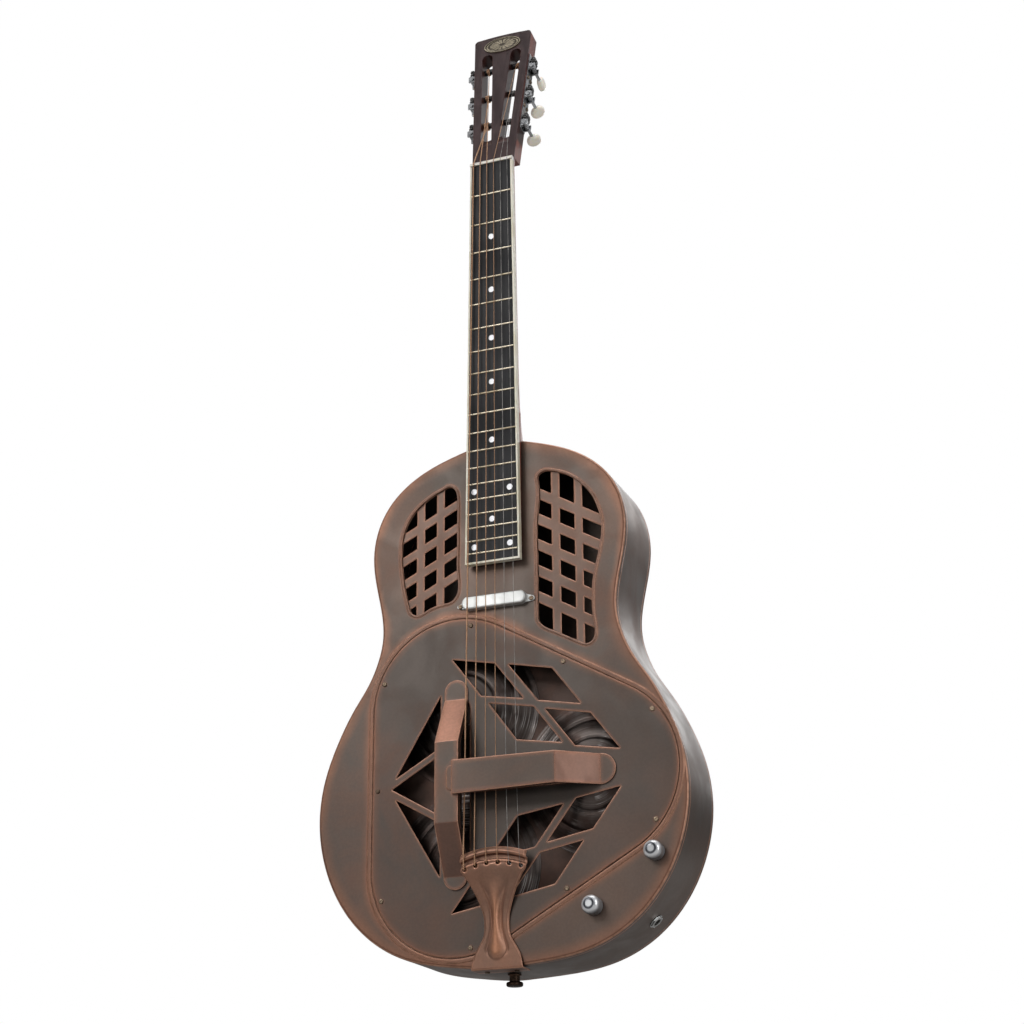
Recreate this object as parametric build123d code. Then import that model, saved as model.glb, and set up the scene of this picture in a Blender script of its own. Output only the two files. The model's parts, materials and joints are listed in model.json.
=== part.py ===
from build123d import *
import os
from math import sin, cos, tan, radians, pi, hypot, atan2

# Resonator guitar with three spun cones, a T-shaped bridge and a metal body.
# Millimetres. +Z runs up the neck, the strings face -Y (front), the treble side is +X.
# Origin: centre line of the tail end, half way through the body's depth.
# Flat outlines are drawn as (x, z) and given thickness along Y.

os.makedirs("parts", exist_ok=True)

# ---------------------------------------------------------------- driving dimensions
GAP = 0.01              # hairline gap between touching pieces
RUN = 0.05              # radial running clearance

DEPTH = 80.0            # body depth
FRONT_Y = -DEPTH / 2
BACK_Y = DEPTH / 2
SHEET = 1.2             # body sheet thickness
INNER_Y = FRONT_Y + SHEET
FLANGE = 6.0            # turned edge of the front and back sheets
EDGE_R = 2.4            # rounded edge of front and back
OUTLINE_Z = 250.0       # centre of the polar body outline
# outline radius every 10 degrees, from -90 (tail) to 90 (neck)
OUTLINE_R = [
    250.0, 250.9, 254.0, 251.6, 241.9, 226.7, 208.1, 186.5, 164.8, 147.3,
    134.4, 130.8, 136.2, 158.4, 201.0, 231.0, 244.5, 250.2, 254.5,
]

NUT_Z = 810.0           # lower face of the nut
HEAD_Z = NUT_Z + 5.0    # where the headstock face starts
SCALE = 635.0           # string length
BOARD_END = 376.5       # lower end of the fretboard
BOARD_TOP = -51.0       # playing surface
BOARD_BOT = -45.0
NUT_HALF = 22.7         # half width at the nut
END_HALF = 27.8         # half width at the lower end
BINDING = 1.7
FRETS = 19

AXIS_Z = 169.0          # centre line of the cone cluster
BASS_UPPER = (-40.5, AXIS_Z + 74.0)
BASS_LOWER = (-40.5, AXIS_Z - 74.0)
TREBLE = (88.5, AXIS_Z)
COVER_R = 84.0
COVER_T = 1.2
COVER_Y = FRONT_Y - COVER_T - GAP   # just clear of the cover plate's front
WELL_R = 75.0
WELL_BACK_Y = -14.0
CONE_R = 72.5
CONE_H = 24.2
CONE_T = 0.6
APEX_Y = WELL_BACK_Y - GAP - CONE_H - CONE_T

BRIDGE_Y = -45.2        # front of the T bridge
SADDLE_Z = 173.0
SADDLE_TOP = -56.4
NUT_TOP = -52.6

HEAD_TILT = 10.0
HEAD_LEN = 175.0
HEAD_T = 17.0
HEAD_FLARE = 9.4        # widening of each side over the headstock's length
POST_PITCH = 38.5
POSTS = [-POST_PITCH, 0.0, POST_PITCH]
POST_R = 3.0
POST_DEPTH = 9.0        # post axis behind the headstock face
GEAR_TEETH = 16
WORM_PITCH = 2.356
WORM_OFFSET = 8.9       # gear axis to worm axis
WORM_OUT = 4.5          # worm axis outside the headstock's side
WORM_R = 1.6            # worm shaft

VOLUME_AT = (148.2, 91.0)
TONE_AT = (90.3, 47.6)
KNOB_R = 8.5
SHAFT_R = 3.0

TAP_R = 1.27            # screw hole in the body
CLEAR_R = 1.45          # screw hole in what is screwed on
COVER_SCREWS = [
    (-25.8, 319.2), (66.0, 273.2), (149.8, 219.0), (149.8, 119.0), (66.0, 64.8),
    (-25.8, 18.8), (-114.0, 66.5), (-119.2, 169.0), (-114.0, 271.5),
]
PICKUP_X, PICKUP_Z = -0.5, 340.3
PICKUP_SCREWS = [(-36.2, 339.0), (35.4, 338.6)]
EAR_T = 1.3 - GAP       # pickup fixing ears
TAIL_SCREW_X = (-14, 14)
TAIL_SCREW_Y = -30

# name, side (-1 bass, 1 treble), post place along the side, string radius, button turn
STRINGS = [
    ("low_e", -1, -POST_PITCH, 0.70, 20),
    ("a", -1, 0.0, 0.54, 70),
    ("d", -1, POST_PITCH, 0.42, -35),
    ("g", 1, POST_PITCH, 0.32, -8),
    ("b", 1, 0.0, 0.23, 60),
    ("high_e", 1, -POST_PITCH, 0.19, 72),
]
PLAIN = ("b", "high_e")
# where each string passes the tailpiece
TAIL_X = [-27.0 + 10.8 * i for i in range(6)]
TAIL_Z = [86.4, 89.2, 90.8, 90.8, 89.2, 86.4]


# ---------------------------------------------------------------- helpers
UP = (Align.CENTER, Align.CENTER, Align.MIN)
DOWN = (Align.CENTER, Align.CENTER, Align.MAX)


def save(shape, name):
    export_step(shape, "parts/" + name + ".step")


def group(shapes):
    return Compound(children=[shape.solid() for shape in shapes])


def fuse(shapes):
    whole = shapes[0]
    for shape in shapes[1:]:
        whole = whole + shape
    return whole


def front_plane(x, y, z):
    """Plane facing the front (-Y), with its own x and y along X and Z."""
    return Plane(origin=(x, y, z), x_dir=(1, 0, 0), z_dir=(0, -1, 0))


def slab(face, y0, y1):
    """An (x, z) face made solid from y0 (front) to y1 (back)."""
    return extrude(front_plane(0, y1, 0) * face, amount=y1 - y0, dir=(0, -1, 0))


def disc(x, z, radius, y0, y1):
    return front_plane(x, (y0 + y1) / 2, z) * Cylinder(radius, y1 - y0)


def cyl_up(z, radius, height):
    return Pos(0, 0, z) * Cylinder(radius, height, align=UP)


def cyl_down(z, radius, height):
    return Pos(0, 0, z) * Cylinder(radius, height, align=DOWN)


def poly(points):
    return make_face(Polyline(*points, close=True))


def rect(x0, x1, z0, z1):
    return poly([(x0, z0), (x1, z0), (x1, z1), (x0, z1)])


def wire_face(*edges):
    return make_face(Wire(list(edges)))


def slot_face(x0, x1, z0, z1):
    """Straight slot with rounded ends, along its longer side."""
    w, h = x1 - x0, z1 - z0
    centre = Pos((x0 + x1) / 2, (z0 + z1) / 2)
    if h >= w:
        end = Circle(w / 2)
        reach = (h - w) / 2
        return centre * (Rectangle(w, h - w) + Pos(0, reach) * end + Pos(0, -reach) * end)
    end = Circle(h / 2)
    reach = (w - h) / 2
    return centre * (Rectangle(w - h, h) + Pos(reach, 0) * end + Pos(-reach, 0) * end)


def smooth_loop(points, offset=0.0, samples=72):
    """Closed spline face; a positive offset grows it, by offsetting sampled points."""
    loop = Spline(*points, periodic=True)
    if offset == 0:
        return make_face(loop)
    following = points[1:] + points[:1]
    area = sum(a[0] * b[1] - b[0] * a[1] for a, b in zip(points, following))
    outward = offset if area > 0 else -offset
    moved = []
    for k in range(samples):
        p = loop @ (k / samples)
        t = loop % (k / samples)
        moved.append((p.X + t.Y * outward, p.Y - t.X * outward))
    return make_face(Spline(*moved, periodic=True))


def body_points():
    right = []
    for i, radius in enumerate(OUTLINE_R):
        angle = radians(-90 + 10 * i)
        right.append((radius * cos(angle), OUTLINE_Z + radius * sin(angle)))
    return right + [(-x, z) for x, z in right[-2:0:-1]]


BODY_POINTS = body_points()


def outline(offset=0.0):
    return smooth_loop(BODY_POINTS, offset, samples=84)


def cluster(radius):
    """Rounded triangle round the three cone centres."""
    dx, dz = TREBLE[0] - BASS_UPPER[0], TREBLE[1] - BASS_UPPER[1]
    length = hypot(dx, dz)
    nx, nz = -dz / length * radius, dx / length * radius
    upper_bass = (BASS_UPPER[0] + nx, BASS_UPPER[1] + nz)
    upper_treble = (TREBLE[0] + nx, TREBLE[1] + nz)
    lower_treble = (TREBLE[0] + nx, TREBLE[1] - nz)
    lower_bass = (BASS_LOWER[0] + nx, BASS_LOWER[1] - nz)
    mid_x, mid_z = radius * cos(radians(60)), radius * sin(radians(60))
    upper_mid = (BASS_UPPER[0] - mid_x, BASS_UPPER[1] + mid_z)
    lower_mid = (BASS_LOWER[0] - mid_x, BASS_LOWER[1] - mid_z)
    upper_left = (BASS_UPPER[0] - radius, BASS_UPPER[1])
    lower_left = (BASS_LOWER[0] - radius, BASS_LOWER[1])
    return wire_face(
        Line(upper_treble, upper_bass),
        ThreePointArc(upper_bass, upper_mid, upper_left),
        Line(upper_left, lower_left),
        ThreePointArc(lower_left, lower_mid, lower_bass),
        Line(lower_bass, lower_treble),
        ThreePointArc(lower_treble, (TREBLE[0] + radius, TREBLE[1]), upper_treble),
    )


def edges_at_y(shape, y):
    return shape.edges().filter_by_position(Axis.Y, y - 0.01, y + 0.01)


def soften(shape, y, radius):
    """Round the edges lying at y."""
    # Guards against a fillet that fails on a spline outline: the edge then stays sharp.
    try:
        rounded = fillet(edges_at_y(shape, y), radius)
        return rounded if rounded.is_valid and rounded.volume > 0 else shape
    except Exception:
        return shape


def strap_profile(outer, thick):
    """Close a strap's outer line of (place, y) into an even strip, thickened towards +Y."""
    corners = [Vector(*p) for p in outer]
    steps = [(b - a).normalized() for a, b in zip(corners[:-1], corners[1:])]
    inner = []
    for i, corner in enumerate(corners):
        before = steps[max(i - 1, 0)]
        after = steps[min(i, len(steps) - 1)]
        along = (before + after).normalized()
        normal = Vector(-along.Y, along.X)
        if normal.Y < 0:
            normal = normal * -1
        mitre = thick / max(before.dot(along), 0.3)
        inner.append((corner.X + normal.X * mitre, corner.Y + normal.Y * mitre))
    return outer + inner[::-1]


def yz_solid(profile, x0, x1):
    """Profile of (z, y) made solid from x0 to x1."""
    face = poly([(x0, y, z) for z, y in profile])
    return extrude(face, amount=x1 - x0, dir=(1, 0, 0))


def xy_solid(profile, z0, z1):
    """Profile of (x, y) made solid from z0 to z1."""
    face = poly([(x, y, z0) for x, y in profile])
    return extrude(face, amount=z1 - z0, dir=(0, 0, 1))


# ---------------------------------------------------------------- body shell
# window outlines in the front, (x, z)
BASS_WINDOW = [
    (-53.2, 462.8), (-46.5, 463.2), (-42.0, 458.2), (-40.6, 451.7), (-40.5, 425.0),
    (-40.5, 400.0), (-40.5, 375.0), (-40.8, 352.6), (-45.2, 346.6), (-55.5, 344.6),
    (-71.1, 340.4), (-82.6, 336.9), (-87.4, 339.6), (-90.6, 347.6), (-93.6, 359.2),
    (-96.4, 375.0), (-98.2, 390.7), (-98.6, 406.2), (-97.3, 418.6), (-94.3, 428.5),
    (-89.1, 438.2), (-81.7, 446.5), (-72.2, 453.5), (-61.6, 459.2),
]
TREBLE_WINDOW = [
    (42.8, 457.5), (44.4, 463.2), (49.7, 465.4), (57.9, 463.9), (68.0, 460.2),
    (80.0, 452.6), (89.8, 442.9), (97.6, 431.5), (102.3, 419.7), (105.0, 409.2),
    (105.6, 398.0), (104.2, 386.0), (101.3, 372.8), (98.2, 360.4), (95.9, 348.9),
    (94.8, 334.4), (94.8, 319.7), (95.9, 309.0), (96.9, 299.4), (94.9, 291.2),
    (89.6, 288.2), (83.0, 290.4), (70.2, 297.4), (55.6, 305.1), (46.6, 310.4),
    (42.4, 315.2), (41.3, 323.7), (41.4, 345.0), (41.6, 380.0), (41.9, 420.0),
]
WINDOW_RIM = 2.3        # width of the raised rim
RIM_H = 0.9
BEAD_H = 0.8            # raised bead round the cover plate
JACK_ANGLE = radians(-57.8)
JACK_Y = 2.0
JACK_R = 4.7


def jack_plane():
    """Plane on the body's side at the jack, facing outwards."""
    loop = Spline(*BODY_POINTS, periodic=True)
    samples = 2400

    def miss(t):
        p = loop @ t
        return abs(atan2(p.Y - OUTLINE_Z, p.X) - JACK_ANGLE)

    places = [k / samples for k in range(samples)]
    nearest = min((t for t in places if (loop @ t).X > 0), key=miss)
    p = loop @ nearest
    t = loop % nearest
    return Plane(origin=(p.X, JACK_Y, p.Y), x_dir=(0, 1, 0), z_dir=(t.Y, 0, -t.X))


JACK_PLANE = jack_plane()


def body_top():
    top = slab(outline(), FRONT_Y, FRONT_Y + FLANGE)
    top = soften(top, FRONT_Y, EDGE_R)
    top -= slab(outline(-SHEET), INNER_Y, FRONT_Y + FLANGE + 1)
    bead = slab(cluster(COVER_R + 4.6), FRONT_Y - BEAD_H, FRONT_Y + 0.4)
    bead -= slab(cluster(COVER_R + 0.9), FRONT_Y - 2, FRONT_Y + 1)
    top += soften(bead, FRONT_Y - BEAD_H, 0.5)
    for window in (BASS_WINDOW, TREBLE_WINDOW):
        ring = slab(smooth_loop(window, WINDOW_RIM), FRONT_Y - RIM_H, FRONT_Y + 0.4)
        ring -= slab(smooth_loop(window), FRONT_Y - 2, FRONT_Y + 1)
        top += soften(ring, FRONT_Y - RIM_H, 0.6)
        top -= slab(smooth_loop(window), FRONT_Y - 2, FRONT_Y + 3)
    top -= slab(cluster(WELL_R), FRONT_Y - 3, FRONT_Y + 3)
    holes = [(x, z, TAP_R) for x, z in COVER_SCREWS + PICKUP_SCREWS]
    holes += [(x, z, 3.55) for x, z in (VOLUME_AT, TONE_AT)]
    holes.append((PICKUP_X, PICKUP_Z, 2.2))
    for x, z, radius in holes:
        top -= disc(x, z, radius, FRONT_Y - 1, FRONT_Y + 3)
    return top


def body_sides():
    sides = slab(outline(), FRONT_Y + FLANGE, BACK_Y - FLANGE)
    sides -= slab(outline(-SHEET), FRONT_Y + FLANGE - 1, BACK_Y - FLANGE + 1)
    sides -= JACK_PLANE * Cylinder(JACK_R + RUN, 12)
    sides -= Cylinder(2.3, 8)                       # strap button screw
    sides -= Pos(0, -1, 505) * Box(30.4, 22.4, 12)  # neck stick
    for x in TAIL_SCREW_X:
        sides -= Pos(x, TAIL_SCREW_Y, 2) * Cylinder(TAP_R, 12)
    return sides


def body_back():
    back = slab(outline(), BACK_Y - FLANGE, BACK_Y)
    back = soften(back, BACK_Y, EDGE_R)
    back -= slab(outline(-SHEET), BACK_Y - FLANGE - 1, BACK_Y - SHEET)
    return back


save(body_top(), "body_top")
save(body_sides(), "body_sides")
save(body_back(), "body_back")


# ---------------------------------------------------------------- grilles behind the windows
def grille(window, x_span, x_ref, slope, first_z, pitch, rows, bar_h, uprights):
    """Frame with sloping bars, whose middle heights are set at x_ref, and uprights."""
    y0, y1 = INNER_Y, INNER_Y + 1.0
    plate = slab(smooth_loop(window, 4.2), y0, y1)
    frame = plate - slab(smooth_loop(window, -0.2), FRONT_Y, FRONT_Y + 4)
    x0, x1 = x_span
    rise = tan(radians(slope))
    half = bar_h / 2
    bars = []
    for k in range(rows):
        z = first_z - pitch * k
        z0, z1 = z + rise * (x0 - x_ref), z + rise * (x1 - x_ref)
        bar = poly([(x0, z0 - half), (x1, z1 - half), (x1, z1 + half), (x0, z0 + half)])
        bars.append(slab(bar, y0, y1))
    for left, right in uprights:
        bars.append(slab(rect(left, right, 270, 480), y0, y1))
    return frame + (fuse(bars) & plate)


save(grille(BASS_WINDOW, x_span=(-112, -34), x_ref=-42.0, slope=26.0, first_z=444.2,
            pitch=24.0, rows=4, bar_h=9.6, uprights=[(-83.2, -75.0), (-62.4, -54.4)]),
     "grille_bass")
save(grille(TREBLE_WINDOW, x_span=(34, 112), x_ref=42.7, slope=-30.2, first_z=443.7,
            pitch=26.1, rows=5, bar_h=11.3, uprights=[(55.7, 64.1), (78.7, 86.7)]),
     "grille_treble")

# ---------------------------------------------------------------- cover plate
# openings (x, z); those in UPPER_OPENINGS are repeated below the cone centre line
UPPER_OPENINGS = [
    [(-44.4, 287.8), (-1.8, 279.3), (26.4, 242.8), (-15.4, 249.6)],
    [(11.7, 276.9), (54.7, 268.2), (82.3, 231.6), (41.0, 239.4)],
    [(-7.7, 241.5), (36.3, 233.6), (63.9, 197.3), (19.8, 204.4)],
    [(47.6, 230.4), (91.3, 221.9), (118.4, 186.2), (75.9, 193.2)],
    [(-101.2, 178.8), (-56.0, 254.0), (-56.0, 204.6)],
]
MIDDLE_OPENING = [(-105.0, 169.0), (-56.0, 197.4), (-56.0, 140.6)]


def cover_plate():
    cover = slab(cluster(COVER_R), FRONT_Y - COVER_T, FRONT_Y)
    cover = soften(cover, FRONT_Y - COVER_T, 0.7)
    openings = []
    for opening in UPPER_OPENINGS:
        openings.append(poly(opening))
        openings.append(poly([(x, 2 * AXIS_Z - z) for x, z in opening]))
    openings.append(poly(MIDDLE_OPENING))
    # the two slots of the T
    openings.append(slot_face(-50.0, -26.6, 87.5, 250.5))
    openings.append(slot_face(-35.0, 97.0, 160.0, 182.0))
    for opening in openings:
        cover -= slab(opening, FRONT_Y - 3, FRONT_Y + 1)
    for x, z in COVER_SCREWS:
        cover -= disc(x, z, CLEAR_R, FRONT_Y - 3, FRONT_Y + 1)
    return cover


save(cover_plate(), "coverplate")

# ---------------------------------------------------------------- hand rest (T cover)
REST_T = 1.5
REST_Y = FRONT_Y - COVER_T - 24.0       # front of the bar
STEM_Y = REST_Y - 3.4                   # front of the stem
REST_FOOT = COVER_Y - REST_T            # front of the feet
REST_X = (-51.5, -28.5)                 # bar, across
REST_Z = (71.0, 267.0)                  # bar, lengthwise
STEM_X0 = -33.5


def rest_bar():
    (x0, x1), (z0, z1) = REST_X, REST_Z
    line = [
        (z0, REST_FOOT), (83.0, REST_FOOT), (128.0, REST_Y),
        (203.0, REST_Y), (248.0, REST_FOOT), (z1, REST_FOOT),
    ]
    bar = yz_solid(strap_profile(line, REST_T), x0, x1)
    bar = bar & slab(slot_face(x0, x1, z0, z1), REST_Y - 5, FRONT_Y)
    # side walls: the treble one is cut away under the stem, the bass one is full
    lip_y, wall_y, base_y = REST_FOOT - 0.6, REST_Y + 0.2, COVER_Y - 0.02
    arch_y = REST_Y + 6.0
    bar += yz_solid([
        (86.0, lip_y), (128.0, wall_y), (203.0, wall_y), (245.0, lip_y), (245.0, base_y),
        (238.0, base_y), (202.0, arch_y), (129.0, arch_y), (93.0, base_y), (86.0, base_y),
    ], x1 - REST_T, x1)
    bar += yz_solid([
        (86.0, base_y), (245.0, base_y), (245.0, lip_y),
        (203.0, wall_y), (128.0, wall_y), (86.0, lip_y),
    ], x0, x0 + REST_T)
    return bar


def rest_stem():
    line = [(STEM_X0, STEM_Y), (66.0, STEM_Y), (100.0, REST_FOOT), (114.5, REST_FOOT)]
    stem = xy_solid(strap_profile(line, REST_T), 152.6, 184.4)
    plan = slab(wire_face(
        Line((STEM_X0, 152.8), (100.0, 154.8)),
        ThreePointArc((100.0, 154.8), (114.5, 168.8), (100.0, 182.8)),
        Line((100.0, 182.8), (STEM_X0, 184.2)),
        Line((STEM_X0, 184.2), (STEM_X0, 152.8)),
    ), STEM_Y - 5, FRONT_Y)
    stem = stem & plan
    wall = [
        (STEM_X0, STEM_Y + 0.3), (66.0, STEM_Y + 0.3), (86.0, STEM_Y + 15.2),
        (84.0, STEM_Y + 17.0), (65.0, STEM_Y + 3.9), (STEM_X0, STEM_Y + 3.9),
    ]
    for z0 in (153.0, 182.6):
        stem += xy_solid(wall, z0, z0 + 1.4) & plan
    # end wall next to the bar
    stem += Pos(STEM_X0 + 0.75, STEM_Y + 1.75, 168.5) * Box(1.5, 3.3, 31.0)
    return stem


def hand_rest():
    lap = slab(slot_face(-39.5, -30.0, 157.0, 180.0), REST_Y - 0.9, REST_Y + 0.3)
    rest = rest_bar() + rest_stem() + lap
    return rest & slab(Pos(0, 170) * Rectangle(400, 400), STEM_Y - 1, COVER_Y)


save(hand_rest(), "handrest_cover")


# ---------------------------------------------------------------- sound well, cones, bridge
def sound_well():
    well = slab(cluster(WELL_R + 1.0), INNER_Y, WELL_BACK_Y)
    well -= slab(cluster(WELL_R), INNER_Y - 1, WELL_BACK_Y + 1)
    floor = slab(cluster(WELL_R + 1.0), WELL_BACK_Y, WELL_BACK_Y + 1.2)
    for x, z in (BASS_UPPER, BASS_LOWER, TREBLE):
        floor -= disc(x, z, CONE_R - 5.5, WELL_BACK_Y - 1, WELL_BACK_Y + 3)
    return well + floor


save(sound_well(), "soundwell")


# (radius, height) of the cone's inner surface, from the flat rim to the apex
CONE_PROFILE = [
    (CONE_R - 5.0, 0.0), (CONE_R - 7.5, 1.0), (56.0, 5.2), (52.0, 5.6), (48.5, 8.2),
    (38.0, 12.0), (34.5, 12.4), (31.0, 15.0), (20.0, 19.2), (12.0, 22.6), (6.0, 24.0),
    (0.0, CONE_H),
]


def cone():
    """Spun aluminium cone, apex up +Z, rim at z = 0."""
    flat = [(-1, 0), (-1, 0)]
    outer = Spline(*[(r, h + CONE_T) for r, h in CONE_PROFILE], tangents=flat)
    inner = Spline(*CONE_PROFILE, tangents=flat)
    section = wire_face(
        Line((CONE_R, 0), (CONE_R - 5, 0)),
        inner,
        Line((0, CONE_H), (0, CONE_H + CONE_T)),
        outer,
        Line((CONE_R - 5, CONE_T), (CONE_R, CONE_T)),
        Line((CONE_R, CONE_T), (CONE_R, 0)),
    )
    return revolve(Plane.XZ * section, Axis.Z, 360)


spun_cone = cone()
for place, (x, z) in (("bass_upper", BASS_UPPER), ("bass_lower", BASS_LOWER),
                      ("treble", TREBLE)):
    save(front_plane(x, WELL_BACK_Y - GAP, z) * spun_cone, "cone_" + place)


def t_bridge():
    back_y = APEX_Y - 0.02
    bridge = slab(rect(-46.0, -35.0, 93.0, 238.0), BRIDGE_Y, -40.0)
    bridge += slab(rect(-46.0, -35.0, 230.0, 246.4), -41.2, -39.2)
    bridge += slab(rect(-40.0, 92.0, 164.5, 178.5), BRIDGE_Y, -40.0)
    # feet on the cones; the treble one sits 1 above its cone's centre
    for x, z in (BASS_UPPER, BASS_LOWER, (TREBLE[0], AXIS_Z + 1.0)):
        bridge += disc(x, z, 5.0, -41.2, back_y)
    return bridge & slab(rect(-49.0, 92.5, 88.5, 246.4), -52.0, back_y)


def saddle():
    foot_y, shoulder_y = BRIDGE_Y - GAP, SADDLE_TOP + 1.4
    return yz_solid([
        (SADDLE_Z - 2.4, foot_y), (SADDLE_Z + 2.4, foot_y), (SADDLE_Z + 1.6, shoulder_y),
        (SADDLE_Z + 0.4, SADDLE_TOP), (SADDLE_Z - 0.4, SADDLE_TOP),
        (SADDLE_Z - 1.6, shoulder_y),
    ], -29.5, 29.5)


save(t_bridge(), "t_bridge")
save(saddle(), "bridge_saddle")

# ---------------------------------------------------------------- tailpiece
# outline, (z, half width)
TAIL_OUTLINE = [
    (0.0, 24.4), (11.0, 22.0), (18.5, 18.0), (26.0, 13.6), (33.0, 12.0), (44.0, 12.2),
    (53.0, 14.6), (62.0, 18.0), (71.0, 22.4), (79.0, 27.0), (84.5, 31.2),
]
# front surface of the sheet, (z, y)
TAIL_LINE = [
    (-1.75, -43.3), (22.0, -43.4), (48.0, -44.8), (72.0, -49.4), (88.0, -53.0),
    (107.0, -54.4),
]
# raised spine: outline (z, half width), and front surface (z, y)
SPINE_OUTLINE = [
    (88.0, 14.0), (80.0, 12.2), (70.0, 9.0), (58.0, 5.0), (47.0, 3.2), (36.0, 3.4),
    (27.0, 5.4), (18.0, 8.4), (12.0, 7.6),
]
SPINE_LINE = [
    (-1.75, -43.35), (10.0, -45.4), (22.0, -45.8), (48.0, -47.0), (72.0, -51.2),
    (88.0, -53.5), (107.0, -54.9),
]
TAIL_HALF = 32.0        # half width at the upper corners
TAIL_CORNER_Z = 99.5
TAIL_TIP_Z = 105.5      # top of the arched upper edge


def both_edges(table):
    """Splines along the treble side of a (z, half width) table and back on the bass side."""
    treble = Spline(*[(w, z) for z, w in table])
    bass = Spline(*[(-w, z) for z, w in reversed(table)])
    return treble, bass


def tailpiece():
    treble, bass = both_edges(TAIL_OUTLINE)
    corner_r, corner_l = (TAIL_HALF, TAIL_CORNER_Z), (-TAIL_HALF, TAIL_CORNER_Z)
    plan = wire_face(
        Line((24.4, -3.0), (24.4, 0.0)),
        treble,
        Line((31.2, 84.5), corner_r),
        ThreePointArc(corner_r, (0.0, TAIL_TIP_Z), corner_l),
        Line(corner_l, (-31.2, 84.5)),
        bass,
        Line((-24.4, 0.0), (-24.4, -3.0)),
        Line((-24.4, -3.0), (24.4, -3.0)),
    )
    tail = yz_solid(strap_profile(TAIL_LINE, 1.5), -40.0, 40.0) & slab(plan, -60.0, -39.0)
    # plate turned down over the tail end of the body
    tail += Pos(0, (-43.3 - 24.0) / 2, -1.0) * Box(48.8, 19.3, 1.5)

    treble, bass = both_edges(SPINE_OUTLINE)
    spine = wire_face(
        treble,
        ThreePointArc((7.6, 12.0), (0.0, 7.4), (-7.6, 12.0)),
        bass,
        Line((-14.0, 88.0), (14.0, 88.0)),
    )
    tail += yz_solid(strap_profile(SPINE_LINE, 2.2), -40.0, 40.0) & slab(spine, -60.0, -39.0)

    low_r, low_l = (31.9, 96.9), (-31.9, 96.9)
    rim = wire_face(
        ThreePointArc(corner_l, (0.0, TAIL_TIP_Z), corner_r),
        Line(corner_r, low_r),
        ThreePointArc(low_r, (0.0, 102.9), low_l),
        Line(low_l, corner_l),
    )
    tail += slab(rim, -55.3, -53.0)
    for x, z in zip(TAIL_X, TAIL_Z):
        tail -= disc(x, z, 2.2, -60, -45)
    for x in TAIL_SCREW_X:
        tail -= Pos(x, TAIL_SCREW_Y, 0) * Cylinder(CLEAR_R, 8)
    return tail


save(tailpiece(), "tailpiece")


# ---------------------------------------------------------------- body screws (one size)
def screw():
    """Round-head screw, head up +Z, seat at z = 0."""
    shank = cyl_down(0, 1.25, 6.0)
    head = cyl_up(0, 2.3, 1.1)
    head = fillet(head.edges().filter_by(GeomType.CIRCLE).sort_by(Axis.Z)[-1], 0.8)
    head -= Pos(0, 0, 1.0) * Box(5, 0.5, 0.7)
    return shank + head


def body_screws():
    one = screw()
    placed = []
    for x, z in COVER_SCREWS:
        # each slot is turned differently
        placed.append(front_plane(x, COVER_Y, z) * Rot(0, 0, 37 * (x + z)) * one)
    for x, z in PICKUP_SCREWS:
        placed.append(front_plane(x, FRONT_Y - EAR_T - 2 * GAP, z) * one)
    for x in TAIL_SCREW_X:
        seat = Plane(origin=(x, TAIL_SCREW_Y, -1.77), x_dir=(1, 0, 0), z_dir=(0, 0, -1))
        placed.append(seat * one)
    return group(placed)


save(body_screws(), "body_screws")


# ---------------------------------------------------------------- strap button
def strap_button():
    button = cyl_down(-0.22, 6.2, 1.5) + cyl_down(-1.0, 4.8, 6.5)
    head = cyl_down(-7.0, 7.6, 4.0)
    button += fillet(head.edges().filter_by(GeomType.CIRCLE), 1.5)
    button -= Cylinder(2.05, 60)
    button -= cyl_down(-9.4, 3.6, 10)
    return button


def strap_button_screw():
    bolt = cyl_down(-9.42, 3.4, 1.55) + cyl_up(-9.43, 2.0, 34.0)
    bolt -= Pos(0, 0, -11.0) * Box(7, 0.9, 1.4)
    return bolt


save(strap_button(), "strap_button")
save(strap_button_screw(), "strap_button_screw")

# ---------------------------------------------------------------- headstock frame
TILT = radians(HEAD_TILT)
HEAD_ORIGIN = Vector(0, BOARD_BOT, HEAD_Z)
HEAD_UP = Vector(0, sin(TILT), cos(TILT))       # along the headstock, leaning back
HEAD_OUT = Vector(0, -cos(TILT), sin(TILT))     # out of its face
HEAD_IN = Vector(0, cos(TILT), -sin(TILT))      # into its depth
HEAD_PLANE = Plane(origin=HEAD_ORIGIN, x_dir=(1, 0, 0), z_dir=HEAD_OUT)
FLARE_ANGLE = atan2(HEAD_FLARE, HEAD_LEN)
MIDDLE_POST = 96.0      # middle posts, up the headstock


def head_half(up):
    return NUT_HALF + 0.1 + HEAD_FLARE * up / HEAD_LEN


def in_head(x, up):
    return Vector(1, 0, 0) * x + HEAD_UP * up


def side_plane(side):
    """Plane on a headstock side: x runs up the side, z outwards, origin by the middle post."""
    return Plane(
        origin=HEAD_ORIGIN + in_head(side * head_half(MIDDLE_POST), MIDDLE_POST),
        x_dir=in_head(side * sin(FLARE_ANGLE), cos(FLARE_ANGLE)),
        z_dir=in_head(side * cos(FLARE_ANGLE), -sin(FLARE_ANGLE)),
    )


# Places on a side are (along, depth behind the face, out from the side).
def on_side(side, along, depth, out):
    return side_plane(side) * Pos(along, -side * depth, out)


def side_cyl(side, along, depth, radius, out0, out1):
    return on_side(side, along, depth, (out0 + out1) / 2) * Cylinder(radius, out1 - out0)


def side_box(side, along0, along1, depth0, depth1, out0, out1):
    centre = on_side(side, (along0 + along1) / 2, (depth0 + depth1) / 2, (out0 + out1) / 2)
    return centre * Box(along1 - along0, depth1 - depth0, out1 - out0)


def side_point(side, along, depth, out):
    return side_plane(side).from_local_coords(Vector(along, -side * depth, out))


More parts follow.
